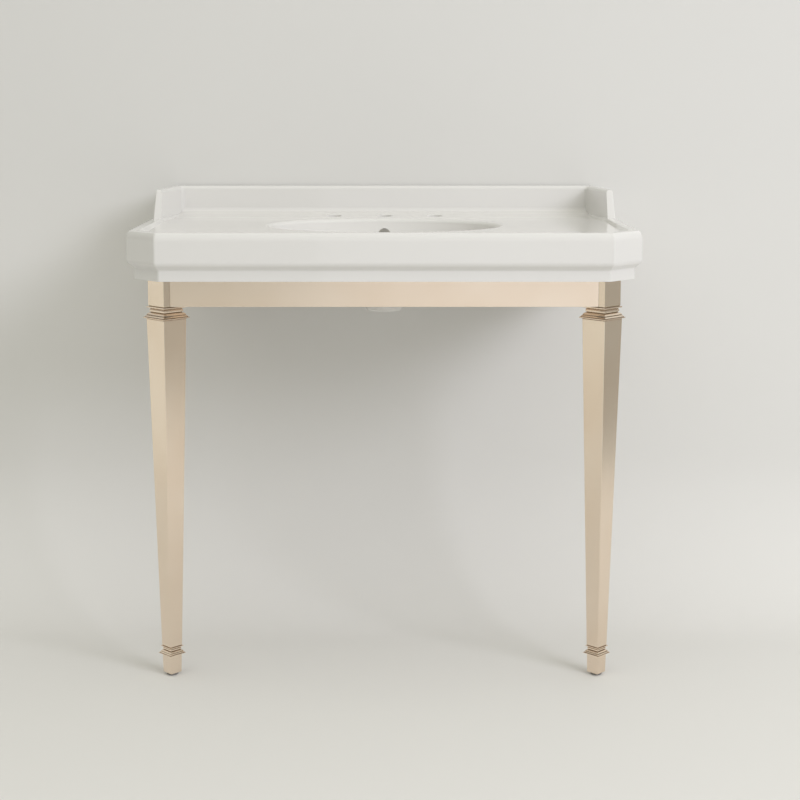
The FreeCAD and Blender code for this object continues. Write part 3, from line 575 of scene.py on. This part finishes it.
def splash_block():
    """Splashback and returns as a solid block, with raked and rounded ends."""
    top, splash = settings("top"), settings("splash")
    base_z = top.rim_height - top.rim_round_height
    rise = TOP_HIGH.z - top.rim_height
    end_y = FRONT_Y + top.side_run
    block = plan_plate("splash_block", splash.step, base_z, WALL_Y + BEYOND)
    pull((0, 0, TOP_HIGH.z - base_z))
    cut_away((0, end_y, top.rim_height), Vector((0, -rise, splash.rake)).normalized())
    pick(block, "edges", lambda edge: edge_middle(edge).y < end_y + splash.rake + MM
         and all(v.co.z > TOP_HIGH.z - TINY for v in edge.verts)
         and abs(edge.verts[0].co.x - edge.verts[1].co.x) > HALF_WIDTH)
    bevel(splash.end_round, 6)
    pick(block, "edges", lambda edge: edge.calc_face_angle() > math.radians(40)
         and edge_middle(edge).y < WALL_Y + BEYOND / 2 and edge_middle(edge).z > base_z + MM)
    bevel(splash.softness, 3)
    cut_away((0, WALL_Y, 0), (0, 1, 0))
    leave_edit()
    return block


def tray_space():
    """The space inside the rim and the splashback, down to the deck."""
    top, splash = settings("top"), settings("splash")
    brow = top.rim_width - splash.lean - splash.top_round
    space = plan_plate("tray_space", brow, TOP_HIGH.z, WALL_Y - brow)
    pull((0, 0, 2 * splash.top_round))
    cap(space, up=False)
    profile = arc_points((brow, TOP_HIGH.z - splash.top_round), splash.top_round, 90, 0, 7)
    slope = math.atan2(top.deck_drop, top.slope_width)
    edge_start = top.rim_width - top.rim_inner * math.tan(slope / 2)
    profile += arc_points((edge_start, top.rim_height - top.rim_inner), top.rim_inner,
                          90, 90 - math.degrees(slope), 4)
    profile.append((top.rim_width + 2 * top.slope_width, top.rim_height - 2 * top.deck_drop))
    inset_along(profile, up=-1)
    pick(space, "edges", lambda edge: upright(edge) and edge_middle(edge).z < TOP_HIGH.z + MM)
    bevel(top.tray_softness, 5)
    leave_edit()
    combine(space, above_deck(), "INTERSECT")
    return space


def above_deck():
    """A thick sheet whose underside is the deck and the hollow at the splashback's foot."""
    top, splash = settings("top"), settings("splash")
    sweep_y = FRONT_Y + top.sweep_start
    cove_y = WALL_Y - top.rim_width - splash.cove
    points = [(y, deck_z(y)) for y in spread(sweep_y, cove_y, 8)]
    hollow = splash.cove * FOOT_HOLLOW
    points += arc_points((cove_y, deck_z(cove_y) + hollow), hollow, -84, -4, 7)[1:]
    points.append((WALL_Y + BEYOND, points[-1][1]))
    sheet = start("plane", "above_deck", place=(0, (FRONT_Y + sweep_y) / 2, 0),
                  size=(2 * (HALF_WIDTH + BEYOND), sweep_y - FRONT_Y, 1))
    edit(sheet)
    for side, end_y in ((-1, FRONT_Y), (1, sweep_y)):
        pick(sheet, "edges", lambda edge: all(side * v.co.y > 0 for v in edge.verts))
        bpy.ops.transform.translate(value=(0, 0, deck_z(end_y)))
    for (y, z), (next_y, next_z) in zip(points, points[1:]):
        pull((0, next_y - y, next_z - z))
    bpy.ops.mesh.select_mode(type="FACE")
    bpy.ops.mesh.select_all(action="SELECT")
    pull((0, 0, 4 * (TOP_HIGH.z - top.rim_height)))
    leave_edit()
    return sheet


def underside_cell(name, x0, x1, y0, y1):
    """One hollow between the ribs under the deck, cut out of the plan inside the apron."""
    top = settings("top")
    low = top.rim_height - top.fascia_height - BEYOND
    cell = plan_plate(name, top.cove_depth + top.apron_wall, low, WALL_Y - top.back_wall)
    pull((0, 0, deck_z(0) - top.deck_thickness - low))
    for point, outward in [((x0, 0, 0), (-1, 0, 0)), ((x1, 0, 0), (1, 0, 0)),
                           ((0, y0, 0), (0, -1, 0)), ((0, y1, 0), (0, 1, 0))]:
        cut_away(point, outward)
    leave_edit()
    return cell


def bowl_rings(grow):
    """Wall and corner of the bowl from the bottom up, larger all round by grow."""
    bowl = settings("bowl")
    lean = math.radians(BOWL_WALL_LEAN)
    corner = bowl.corner + grow
    wall = grow / math.cos(lean) - bowl.lip
    centre_z = -bowl.depth - grow + corner
    centre_x = wall - (-bowl.lip - centre_z) * math.tan(lean) - corner / math.cos(lean)
    points = arc_points((centre_x, centre_z), corner, -90, -BOWL_WALL_LEAN, 14)
    low_x, low_z = points.pop()
    points += zip(spread(low_x, wall, 3), spread(low_z, -bowl.lip, 3))
    return [(bowl.length / 2 + across, bowl.breadth / 2 + across, z) for across, z in points]


def on_deck(piece):
    """Tilt a piece made about the bowl's axis with the deck, and put it in its place."""
    bowl_y = FRONT_Y + settings("bowl").centre
    place_piece(piece, place=(0, bowl_y, deck_z(bowl_y)), turn=(math.radians(DECK_TILT), 0, 0))
    return piece


def bowl_space():
    """The space in the bowl, from the waste hole up to the rounded lip."""
    bowl = settings("bowl")
    floor = -bowl.depth
    dish = floor - DISH_DROP
    seat = dish - SEAT_DEPTH
    rings = round_rings([(bowl.waste_radius, floor - BEYOND), (bowl.waste_radius, seat),
                         (bowl.seat_radius, seat), (bowl.seat_radius, dish - SEAT_EDGE),
                         (bowl.seat_radius + SEAT_EDGE, dish),
                         (bowl.dish_radius, floor - DISH_EDGE)])
    rings.append((bowl.dish_radius + DISH_FADE[0], bowl.dish_radius + DISH_FADE[1], floor))
    rings += bowl_rings(0.0)
    for across, z in arc_points((0, -bowl.lip), bowl.lip, 180, 96, 9)[1:]:
        rings.append((bowl.length / 2 + across, bowl.breadth / 2 + across, z))
    rings.append((*rings[-1][:2], BEYOND))
    return on_deck(ring_stack("bowl_space", rings))


def bowl_skin(name, grow, with_boss=False):
    """A solid of the bowl's shape, larger all round by grow, ending inside the deck."""
    bowl = settings("bowl")
    rings = bowl_rings(grow)
    if with_boss:
        bottom = rings[0][2]
        low = -bowl.depth - DISH_DROP - bowl.wall - bowl.boss_drop
        rings = round_rings([(bowl.boss_radius - BOSS_EDGE, low),
                             (bowl.boss_radius, low + BOSS_EDGE),
                             (bowl.boss_radius, bottom - BOSS_FLARE),
                             (bowl.boss_radius + BOSS_FLARE, bottom)]) + rings
    return on_deck(ring_stack(name, rings))


def behind_bowl(name, grow, half_width, high_z):
    """The part of a bowl's skin that lies behind the bowl, between two sides."""
    skin = bowl_skin(name, grow)
    bowl_y = FRONT_Y + settings("bowl").centre
    limits = solid_box("limits", (-half_width, bowl_y, TOP_LOW.z - BEYOND),
                       (half_width, WALL_Y, high_z))
    combine(skin, limits, "INTERSECT")
    return skin


def overflow_duct():
    """The rib behind the bowl that hides the overflow passage."""
    top, bowl = settings("top"), settings("bowl")
    return behind_bowl("overflow_duct", bowl.wall + bowl.passage_depth + bowl.passage_wall,
                       bowl.passage_width / 2 + bowl.passage_wall,
                       top.rim_height - top.deck_thickness)


def overflow_passage():
    """The way for water behind the bowl, and the hole that leads into it."""
    bowl = settings("bowl")
    bowl_y = FRONT_Y + bowl.centre
    hole_z = deck_z(bowl_y) - bowl.overflow_drop
    passage = behind_bowl("overflow_passage", bowl.wall + bowl.passage_depth,
                          bowl.passage_width / 2,
                          hole_z + bowl.overflow_radius + bowl.passage_headroom)
    combine(passage, bowl_skin("passage_inner", bowl.wall), "DIFFERENCE")
    reach = bowl.breadth / 2 + bowl.wall + bowl.passage_depth / 2
    hole = round_hole("overflow_hole", (0, bowl_y + reach / 2, hole_z), bowl.overflow_radius,
                      reach, CROSSWISE, 40)
    combine(passage, hole, "UNION")
    return passage


def tap_space(x):
    """The space of a tap hole, square to the deck there, with a softened edge."""
    bowl = settings("bowl")
    tap_y = WALL_Y - bowl.tap_setback
    tilt = math.atan2(deck_z(tap_y + MM) - deck_z(tap_y - MM), 2 * MM)
    below, above = -30 * MM, 20 * MM
    rings = [(bowl.tap_radius, below)]
    for across, z in arc_points((bowl.tap_edge, -bowl.tap_edge), bowl.tap_edge, 180, 95, 5):
        rings.append((bowl.tap_radius + across, z))
    rings.append((rings[-1][0], above))
    space = ring_stack("tap_space", round_rings(rings))
    place_piece(space, place=(x, tap_y, deck_z(tap_y)), turn=(tilt, 0, 0))
    return space


def glazed_top():
    """The whole ceramic top as one closed piece."""
    top, bowl = settings("top"), settings("bowl")
    piece = moulded_block()
    piece.name = piece.data.name = "glazed_top"
    combine(piece, splash_block(), "UNION")
    rib = top.rib_thickness / 2
    x, y = LEG_AXIS[:2]
    cells = [(-FAR, FAR, -FAR, y - rib), (-FAR, -x - rib, y + rib, FAR),
             (-x + rib, x - rib, y + rib, FAR), (x + rib, FAR, y + rib, FAR)]
    for number, limits in enumerate(cells):
        combine(piece, underside_cell(f"cell_{number}", *limits), "DIFFERENCE")
    combine(piece, bowl_skin("bowl_skin", bowl.wall, with_boss=True), "UNION")
    combine(piece, overflow_duct(), "UNION")
    combine(piece, tray_space(), "DIFFERENCE")
    combine(piece, bowl_space(), "DIFFERENCE")
    combine(piece, overflow_passage(), "DIFFERENCE")
    for number in (-1, 0, 1):
        combine(piece, tap_space(number * bowl.tap_pitch), "DIFFERENCE")
    for side in SIDES.values():
        place = (side * bowl.wall_hole_pitch / 2, WALL_Y, top.rim_height - bowl.wall_hole_drop)
        hole = round_hole("wall_hole", place, bowl.wall_hole_radius, BEYOND, CROSSWISE, 32)
        combine(piece, hole, "DIFFERENCE")
    merge_cuts(piece)
    shade(piece)
    return piece


# ---- metal pieces ----
def block_outline(name, grow=0.0, beyond=0.0):
    """The square block on the right leg's axis, with an edge to the front."""
    size = RAIL_SIZE + 2 * grow
    return start("cube", name, place=(*LEG_AXIS[:2], (RAIL_LOW.z + RAIL_HIGH.z) / 2),
                 turn=(0, 0, math.radians(45)), size=(size, size, RAIL_SIZE + 2 * beyond))


def rail(name, low, high, ends):
    """A rail between two corners, mitred at its ends and clear of the corner blocks there."""
    sizes = settings("frame")
    piece = solid_box(name, low, high)
    edit(piece)
    for point, outward in ends:
        outward = Vector(outward).normalized()
        cut_away(Vector(point) - outward * sizes.gap / 2, outward)
    leave_edit()
    notches = [block_outline("notch", sizes.gap, NOTCH_BEYOND)]
    if len(ends) > 1:
        notches.append(mirrored(notches[0], "other_notch"))
    for notch in notches:
        combine(piece, notch, "DIFFERENCE")
    soften(piece, sizes.edge)
    shade(piece)
    return piece


def front_rail():
    """The front rail between the mitres at both legs."""
    half = RAIL_SIZE / 2
    x, y = LEG_AXIS[:2]
    return rail("brass_front_rail", (-x, y - half, RAIL_LOW.z), (x, y + half, RAIL_HIGH.z),
                [((side * x, y, 0), (side, 1, 0)) for side in SIDES.values()])


def side_rail():
    """The right side rail, from its mitre at the leg to the wall flange."""
    half = RAIL_SIZE / 2
    x, y = LEG_AXIS[:2]
    end_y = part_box("right_side_rail")[1].y
    return rail("brass_right_side_rail", (x - half, y, RAIL_LOW.z),
                (x + half, end_y, RAIL_HIGH.z), [((x, y, 0), (-1, -1, 0))])


def corner_block():
    """The right corner block with its two spigots."""
    sizes = settings("frame")
    x, y = LEG_AXIS[:2]
    half = sizes.spigot_size / 2
    low, high = (RAIL_LOW.z + RAIL_HIGH.z) / 2 - half, (RAIL_LOW.z + RAIL_HIGH.z) / 2 + half
    block = block_outline("brass_right_corner_block")
    soften(block, sizes.edge)
    for spigot in [
            solid_box("front_spigot", (x - sizes.spigot_reach, y - half, low), (x, y + half, high)),
            solid_box("side_spigot", (x - half, y, low), (x + half, y + sizes.spigot_reach, high))]:
        combine(block, spigot, "UNION")
    shade(block)
    return block


def wall_flange():
    """The right wall flange: plate, spigot and two screw holes."""
    sizes = settings("frame")
    low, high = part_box("right_wall_flange")
    plate_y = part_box("right_side_rail")[1].y + sizes.gap
    x, z = LEG_AXIS.x, (low.z + high.z) / 2
    flange = solid_box("brass_right_wall_flange", (low.x, plate_y, low.z), high)
    soften(flange, 2 * sizes.edge, 3)
    half = sizes.spigot_size / 2
    spigot = solid_box("flange_spigot", (x - half, plate_y - sizes.flange_spigot, z - half),
                       (x + half, plate_y + MM, z + half))
    combine(flange, spigot, "UNION")
    for side in SIDES.values():
        place = (x + side * sizes.screw_pitch / 2, plate_y, z)
        hole = round_hole("screw_hole", place, sizes.screw_radius, BEYOND, CROSSWISE, 24)
        combine(flange, hole, "DIFFERENCE")
    shade(flange)
    return flange


def moulding(node, neck, ledge, shaft):
    """The right capital or base collar, from its lip down to the shaft or foot under it."""
    low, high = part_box("right_" + node)
    rings = [(neck + (ledge - neck) * reach, high.z + (low.z - high.z) * share)
             for reach, share in MOULDING] + [(shaft, low.z)]
    piece = square_stack("brass_right_" + node, rings[::-1])
    soften(piece, MOULDING_EDGE, 2, FINE_ANGLE)
    shade(piece, FINE_ANGLE)
    return piece


def leg_shaft():
    """The right leg's tapered shaft."""
    low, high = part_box("right_leg_shaft")
    sizes = settings("frame")
    piece = square_stack("brass_right_leg_shaft",
                         [(sizes.shaft_bottom, low.z), (sizes.shaft_top, high.z)])
    soften(piece, sizes.edge, 3)
    shade(piece)
    return piece


def foot_block():
    """The right foot, slightly narrower at its chamfered bottom."""
    low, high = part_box("right_foot_block")
    sizes = settings("frame")
    piece = square_stack("brass_right_foot_block",
                         [(sizes.foot_bottom - 2 * sizes.foot_chamfer, low.z),
                          (sizes.foot_bottom, low.z + sizes.foot_chamfer),
                          (sizes.foot_top, high.z)])
    soften(piece, sizes.edge / 2, 2, FINE_ANGLE)
    shade(piece)
    return piece


def glide_pad():
    """The right glide pad, with soft edges and a hole for its stem."""
    sizes = settings("frame")
    low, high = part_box("right_glide_pad")
    radius = (high.x - low.x) / 2
    centre = ((low.x + high.x) / 2, (low.y + high.y) / 2)
    rings = [(radius - GLIDE_EDGE, low.z), (radius, low.z + GLIDE_EDGE),
             (radius, high.z - GLIDE_STEP), (radius - GLIDE_STEP, high.z)]
    pad = ring_stack("nylon_right_glide_pad", round_rings(rings), centre, 48)
    hole = round_hole("stem_hole", (*centre, high.z), sizes.stem_radius,
                      2 * (high.z - low.z - sizes.socket_floor))
    combine(pad, hole, "DIFFERENCE")
    shade(pad)
    return pad


# ---- materials ----
def new_group(name, inputs, outputs):
    """A shader node group; gives it, the sockets of its inputs, and the node of its outputs."""
    group = bpy.data.node_groups.new(name, "ShaderNodeTree")
    for way, sockets in (("INPUT", inputs), ("OUTPUT", outputs)):
        for socket, default in sockets.items():
            kind = "Vector" if isinstance(default, tuple) else "Float"
            made = group.interface.new_socket(name=socket, in_out=way,
                                              socket_type=f"NodeSocket{kind}")
            made.default_value = default
    source, result = [group.nodes.new("NodeGroup" + end) for end in ("Input", "Output")]
    return group, source.outputs, result


def feed(tree, node, inputs):
    """Feed a node's inputs, each with another node's output, a number, a vector or a colour."""
    for name, value in inputs.items():
        socket = node.inputs[name]
        if isinstance(value, bpy.types.NodeSocket):
            tree.links.new(value, socket)
        else:
            socket.default_value = (*value, 1) if socket.type == "RGBA" else value


def add(tree, kind, inputs=None, **options):
    """Add a shader node with its options, and feed its inputs."""
    node = tree.nodes.new("ShaderNode" + kind)
    for name, value in options.items():
        setattr(node, name, value)
    feed(tree, node, inputs or {})
    return node


def math_node(tree, operation, first, second):
    """The outcome of a sum on two sockets or numbers."""
    return add(tree, "Math", {0: first, 1: second}, operation=operation).outputs[0]


def noise(tree, place, scale, detail):
    """Cloudy noise at a place; gives its strength."""
    return add(tree, "TexNoise", {"Vector": place, "Scale": scale,
                                  "Detail": detail}).outputs["Fac"]


def ramp(tree, value, low, high, to_low, to_high):
    """Map a value from one range to another."""
    return add(tree, "MapRange", {"Value": value, "From Min": low, "From Max": high,
                                  "To Min": to_low, "To Max": to_high}).outputs["Result"]


def bump(tree, height, strength, distance):
    """A normal that follows a height."""
    return add(tree, "Bump", {"Height": height, "Strength": strength,
                              "Distance": distance}).outputs["Normal"]


def mix_colours(tree, mask, first, second):
    """A colour that goes from the first to the second with a mask."""
    # The node's colours are its inputs 6 and 7 and its output 2.
    return add(tree, "Mix", {"Factor": mask, 6: first, 7: second}, data_type="RGBA").outputs[2]


def mottle_group():
    """Soft uneven patches: a mask that drifts slowly over the surface."""
    group, given, result = new_group("mottle", {"Scale": 8.0, "Contrast": 0.3}, {"Mask": 0.5})
    place = add(group, "TexCoord").outputs["Object"]
    centred = math_node(group, "SUBTRACT", noise(group, place, given["Scale"], 3.0), 0.5)
    scaled = math_node(group, "MULTIPLY", centred, given["Contrast"])
    feed(group, result, {"Mask": math_node(group, "ADD", scaled, 0.5)})


def grain_group():
    """Fine brushed lines along one direction, as a mask and as a height."""
    group, given, result = new_group(
        "brushed_grain", {"Stretch": (1.0, 60.0, 60.0), "Scale": 30.0},
        {"Mask": 0.5, "Height": 0.5})
    place = add(group, "TexCoord").outputs["Object"]
    drawn_out = add(group, "VectorMath", {0: place, 1: given["Stretch"]}, operation="MULTIPLY")
    lines = noise(group, drawn_out.outputs[0], given["Scale"], 4.0)
    feed(group, result, {"Mask": lines, "Height": lines})


def place_group(tree, name, **values):
    """The outputs of a node group in a material, with its inputs set."""
    return add(tree, "Group", values, node_tree=bpy.data.node_groups[name]).outputs


def mottle(tree, scale, contrast=1.0):
    """The mask of the uneven patches."""
    return place_group(tree, "mottle", Scale=scale, Contrast=contrast)["Mask"]


def uneven_colour(tree, mask, value, spread):
    """A colour that drifts a little darker and lighter with a mask."""
    shades = [[min(1.0, channel * factor) for channel in value]
              for factor in (1 - spread, 1 + spread)]
    return mix_colours(tree, mask, *shades)


def shader_material(name):
    """A material with a Principled shader; gives the material, its tree and the shader."""
    made = bpy.data.materials.new(name)
    made.use_nodes = True
    return made, made.node_tree, made.node_tree.nodes["Principled BSDF"]


def glaze_material():
    """Warm white glaze: thick gloss with faint waves and slow changes of tone."""
    made, tree, shader = shader_material("glazed_fireclay")
    feed(tree, shader, {
        "Base Color": uneven_colour(tree, mottle(tree, 5.0, 0.8), settings("finish").glaze, 0.015),
        "Roughness": ramp(tree, mottle(tree, 30.0), 0.2, 0.8, 0.03, 0.06),
        "IOR": 1.5,
        "Normal": bump(tree, mottle(tree, 7.0), 0.08, 0.4 * MM)})
    return made


def brass_material(name, stretch, hollows=False):
    """Satin brass with very fine lines and slow changes of tone, and with painted shade in narrow
    hollows if asked.
    """
    made, tree, shader = shader_material(name)
    finish = settings("finish")
    grain = place_group(tree, "brushed_grain", Stretch=stretch, Scale=45.0)
    mask = ramp(tree, mottle(tree, 6.0), 0.35, 0.65, 0.0, 1.0)
    metal = mix_colours(tree, mask, finish.brass, finish.brass_dark)
    # Painted shade: the colour goes dark where ambient occlusion finds the surface hidden, in
    # grooves and next to other parts.
    if hollows:
        occlusion = add(tree, "AmbientOcclusion", {"Distance": 3.5 * MM}, samples=8)
        unshaded = ramp(tree, occlusion.outputs["AO"], 0.35, 0.8, 0.0, 1.0)
        metal = mix_colours(tree, unshaded, finish.brass_hollow_shade, metal)
    feed(tree, shader, {
        "Base Color": metal,
        "Metallic": 1.0,
        "Roughness": ramp(tree, grain["Mask"], 0.3, 0.7, 0.20, 0.26),
        "Normal": bump(tree, grain["Height"], 0.012, 0.2 * MM)})
    return made


def plain_material(name, value, roughness, metallic):
    """A small part's finish, with uneven tone and sheen."""
    made, tree, shader = shader_material(name)
    mask = mottle(tree, 60.0)
    feed(tree, shader, {
        "Base Color": uneven_colour(tree, mask, value, 0.15),
        "Metallic": metallic,
        "Roughness": ramp(tree, mask, 0.2, 0.8, roughness - 0.06, roughness + 0.06),
        "Normal": bump(tree, mask, 0.1, 0.3 * MM)})
    return made


def make_materials():
    """The node groups, then every material of the sink by its short name."""
    finish = settings("finish")
    mottle_group()
    grain_group()
    return {
        "glaze": glaze_material(),
        "brass_x": brass_material("satin_brass_along_x", (1.0, 60.0, 60.0)),
        "brass_y": brass_material("satin_brass_along_y", (60.0, 1.0, 60.0)),
        "brass_z": brass_material("satin_brass_along_z", (60.0, 60.0, 1.0)),
        # The mouldings' brass carries painted shade in its hollows.
        "brass_moulding": brass_material("satin_brass_moulding", (1.0, 1.0, 60.0), hollows=True),
        "steel": plain_material("brushed_steel", finish.steel, 0.3, 1.0),
        "nylon": plain_material("glide_nylon", finish.nylon, 0.5, 0.0),
        "rubber": plain_material("rubber", finish.rubber, 0.8, 0.0),
    }


# ---- studio ----
def backdrop():
    """Floor and wall in one sheet with a soft bend, left open right behind the top."""
    top = settings("top")
    wall_y = WALL_Y + WALL_GAP
    sheet = start("plane", "studio_backdrop",
                  place=(0, (BACKDROP_FRONT + wall_y) / 2, -FLOOR_GAP),
                  size=(BACKDROP_WIDTH, wall_y - BACKDROP_FRONT, 1))
    edit(sheet)
    pick(sheet, "edges", lambda edge: edge_middle(edge).y > WALL_Y)
    pull((0, 0, BACKDROP_HEIGHT))
    pick(sheet, "edges", lambda edge: edge_middle(edge).y > WALL_Y and edge_middle(edge).z < 0)
    bevel(BACKDROP_BEND, 20)
    side = HALF_WIDTH - top.rear_taper - OPENING_EDGE
    low = top.rim_height - top.fascia_height + OPENING_EDGE
    high = TOP_HIGH.z - OPENING_EDGE
    for point, across in [((side, 0, 0), (1, 0, 0)), ((-side, 0, 0), (1, 0, 0)),
                          ((0, 0, low), (0, 0, 1)), ((0, 0, high), (0, 0, 1))]:
        bpy.ops.mesh.select_all(action="SELECT")
        bpy.ops.mesh.bisect(plane_co=point, plane_no=across)
    pick(sheet, "faces", lambda face: abs(face.calc_center_median().x) < side
         and low < face.calc_center_median().z < high)
    bpy.ops.mesh.delete(type="FACE")
    bpy.ops.object.mode_set(mode="OBJECT")
    bpy.ops.object.shade_smooth_by_angle(angle=math.radians(60))
    return sheet


def stage_material():
    """Matt paint with a faint unevenness, seen from its front only."""
    made, tree, shader = shader_material("studio_paint")
    paint = uneven_colour(tree, mottle(tree, 2.0, 0.5), settings("finish").wall, 0.01)
    feed(tree, shader, {"Base Color": paint, "Roughness": 0.9, "Specular IOR Level": 0.1})
    back = add(tree, "NewGeometry").outputs["Backfacing"]
    clear = add(tree, "BsdfTransparent").outputs["BSDF"]
    either = add(tree, "MixShader", {"Fac": back, 1: shader.outputs["BSDF"], 2: clear})
    feed(tree, tree.nodes["Material Output"], {"Surface": either.outputs["Shader"]})
    return made


def area_light(name, place, target, size, power, tint, unseen_by):
    """A soft rectangular lamp aimed at a point, hidden from one kind of ray if that is named."""
    lamp = bpy.data.lights.new(name, "AREA")
    lamp.shape = "RECTANGLE"
    lamp.size, lamp.size_y = size
    lamp.energy = power
    lamp.color = tint
    holder = bpy.data.objects.new(name, lamp)
    bpy.context.scene.collection.objects.link(holder)
    holder.location = place
    holder.rotation_mode = "QUATERNION"
    holder.rotation_quaternion = (Vector(target) - Vector(place)).to_track_quat("-Z", "Y")
    if unseen_by:
        setattr(holder, unseen_by, False)


def studio_light():
    """World light that differs by direction, a soft key lamp, and pale cards to reflect."""
    world = bpy.data.worlds.new("studio_world")
    bpy.context.scene.world = world
    world.use_nodes = True
    tree = world.node_tree
    direction = add(tree, "TexCoord").outputs["Generated"]
    parts = add(tree, "SeparateXYZ", {0: direction}).outputs
    across, before, above = [ramp(tree, parts[axis], *limits) for axis, *limits in WORLD_LIGHT]
    strength = math_node(tree, "ADD", math_node(tree, "ADD", across, before), above)
    feed(tree, tree.nodes["Background"], {"Color": WARM_LIGHT, "Strength": strength})
    for name, values in LAMPS.items():
        area_light(name, *values)


def studio_camera():
    """The photograph's view: a long lens, 2.7 m in front of the fascia."""
    lens = bpy.data.cameras.new("photo_camera")
    lens.sensor_width = SENSOR_WIDTH
    lens.lens = SENSOR_WIDTH * LENS_REACH / PICTURE_WIDTH
    lens.shift_x, lens.shift_y = CAMERA_SHIFT
    camera = bpy.data.objects.new("photo_camera", lens)
    bpy.context.scene.collection.objects.link(camera)
    camera.location = (0, FRONT_Y - CAMERA_BACK, CAMERA_HEIGHT)
    camera.rotation_euler = (math.radians(90 - CAMERA_PITCH), 0, 0)
    bpy.context.scene.camera = camera


# ---- operators ----
class SINK_OT_studio(bpy.types.Operator):
    """Set up the floor, the wall, the lights and the camera"""

    bl_idname = "sink.studio"
    bl_label = "Studio"

    def execute(self, context):
        sheet = backdrop()
        sheet.data.materials.append(stage_material())
        studio_light()
        studio_camera()
        context.scene.view_settings.view_transform = "Standard"
        return {"FINISHED"}


class SINK_OT_glazed_top(bpy.types.Operator):
    """Model the glazed top with its bowl, rim, splashback and holes"""

    bl_idname = "sink.glazed_top"
    bl_label = "Glazed top"

    def execute(self, context):
        finish_piece(glazed_top(), "console", "glazed_fireclay", "glaze", "console_basin")
        return {"FINISHED"}


class SINK_OT_rails(bpy.types.Operator):
    """Model the front rail and the two side rails"""

    bl_idname = "sink.rails"
    bl_label = "Rails"

    def execute(self, context):
        finish_piece(front_rail(), "console", "satin_brass", "brass_x", "front_rail")
        pair(side_rail(), "side_rail", "brass_y")
        return {"FINISHED"}


class SINK_OT_corner_blocks(bpy.types.Operator):
    """Model the two corner blocks over the legs"""

    bl_idname = "sink.corner_blocks"
    bl_label = "Corner blocks"

    def execute(self, context):
        pair(corner_block(), "corner_block", "brass_z")
        return {"FINISHED"}


class SINK_OT_wall_flanges(bpy.types.Operator):
    """Model the two wall flanges of the side rails"""

    bl_idname = "sink.wall_flanges"
    bl_label = "Wall flanges"

    def execute(self, context):
        pair(wall_flange(), "wall_flange", "brass_x")
        return {"FINISHED"}


class SINK_OT_legs(bpy.types.Operator):
    """Model the capitals, tapered shafts, base collars and feet of the two legs"""

    bl_idname = "sink.legs"
    bl_label = "Legs"

    def execute(self, context):
        sizes = settings("frame")
        pair(moulding("capital", sizes.capital_neck, sizes.capital_ledge, sizes.shaft_top),
             "capital", "brass_moulding")
        pair(leg_shaft(), "leg_shaft", "brass_z")
        pair(moulding("base_collar", sizes.collar_neck, sizes.collar_ledge, sizes.foot_top),
             "base_collar", "brass_moulding")
        pair(foot_block(), "foot_block", "brass_z")
        return {"FINISHED"}


class SINK_OT_glides(bpy.types.Operator):
    """Model the two glide pads of the levelling feet"""

    bl_idname = "sink.glides"
    bl_label = "Glides"

    def execute(self, context):
        pad = glide_pad()
        other = mirrored(pad, "nylon_left_glide_pad")
        for hand, piece in (("right", pad), ("left", other)):
            finish_piece(piece, f"{hand}_leveller", "glide_nylon", "nylon", f"{hand}_glide_pad")
        return {"FINISHED"}


class SINK_OT_hidden_fixings(bpy.types.Operator):
    """Give the studs, screws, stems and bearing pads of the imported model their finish"""

    bl_idname = "sink.hidden_fixings"
    bl_label = "Hidden fixings"

    def execute(self, context):
        finishes = {f"{hand}_{node}": "steel" for hand in SIDES
                    for node in ("leg_stud", "foot_stud", "leveller_stem")}
        finishes.update(rail_grub_screws="steel", bearing_pads="rubber")
        for node, material in finishes.items():
            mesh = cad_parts[node].data
            mesh.materials.clear()
            mesh.materials.append(MATERIALS[material])
        return {"FINISHED"}


OPERATORS = (SINK_OT_studio, SINK_OT_glazed_top, SINK_OT_rails, SINK_OT_corner_blocks,
             SINK_OT_wall_flanges, SINK_OT_legs, SINK_OT_glides, SINK_OT_hidden_fixings)


class SINK_PT_panel(bpy.types.Panel):
    """Sizes and steps of the console sink"""

    bl_label = "Console Sink"
    bl_idname = "SINK_PT_panel"
    bl_space_type = "VIEW_3D"
    bl_region_type = "UI"
    bl_category = "Console Sink"

    def draw(self, context):
        for operator in OPERATORS:
            self.layout.operator(operator.bl_idname)
        for name, group in GROUPS.items():
            box = self.layout.box()
            for setting in group.__annotations__:
                box.prop(getattr(context.scene, name), setting)


def register():
    """Register the settings, the operators and the panel."""
    for made in (*GROUPS.values(), *OPERATORS, SINK_PT_panel):
        bpy.utils.register_class(made)
    for name, group in GROUPS.items():
        setattr(bpy.types.Scene, name, PointerProperty(type=group))


def unregister():
    """Take away what register added, in the opposite order."""
    for name in GROUPS:
        delattr(bpy.types.Scene, name)
    for made in (SINK_PT_panel, *reversed(OPERATORS), *reversed(list(GROUPS.values()))):
        bpy.utils.unregister_class(made)


def main():
    """Register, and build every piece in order."""
    register()
    MATERIALS.update(make_materials())
    for operator in OPERATORS:
        space, name = operator.bl_idname.split(".")
        getattr(getattr(bpy.ops, space), name)()


if __name__ == "__main__":
    main()
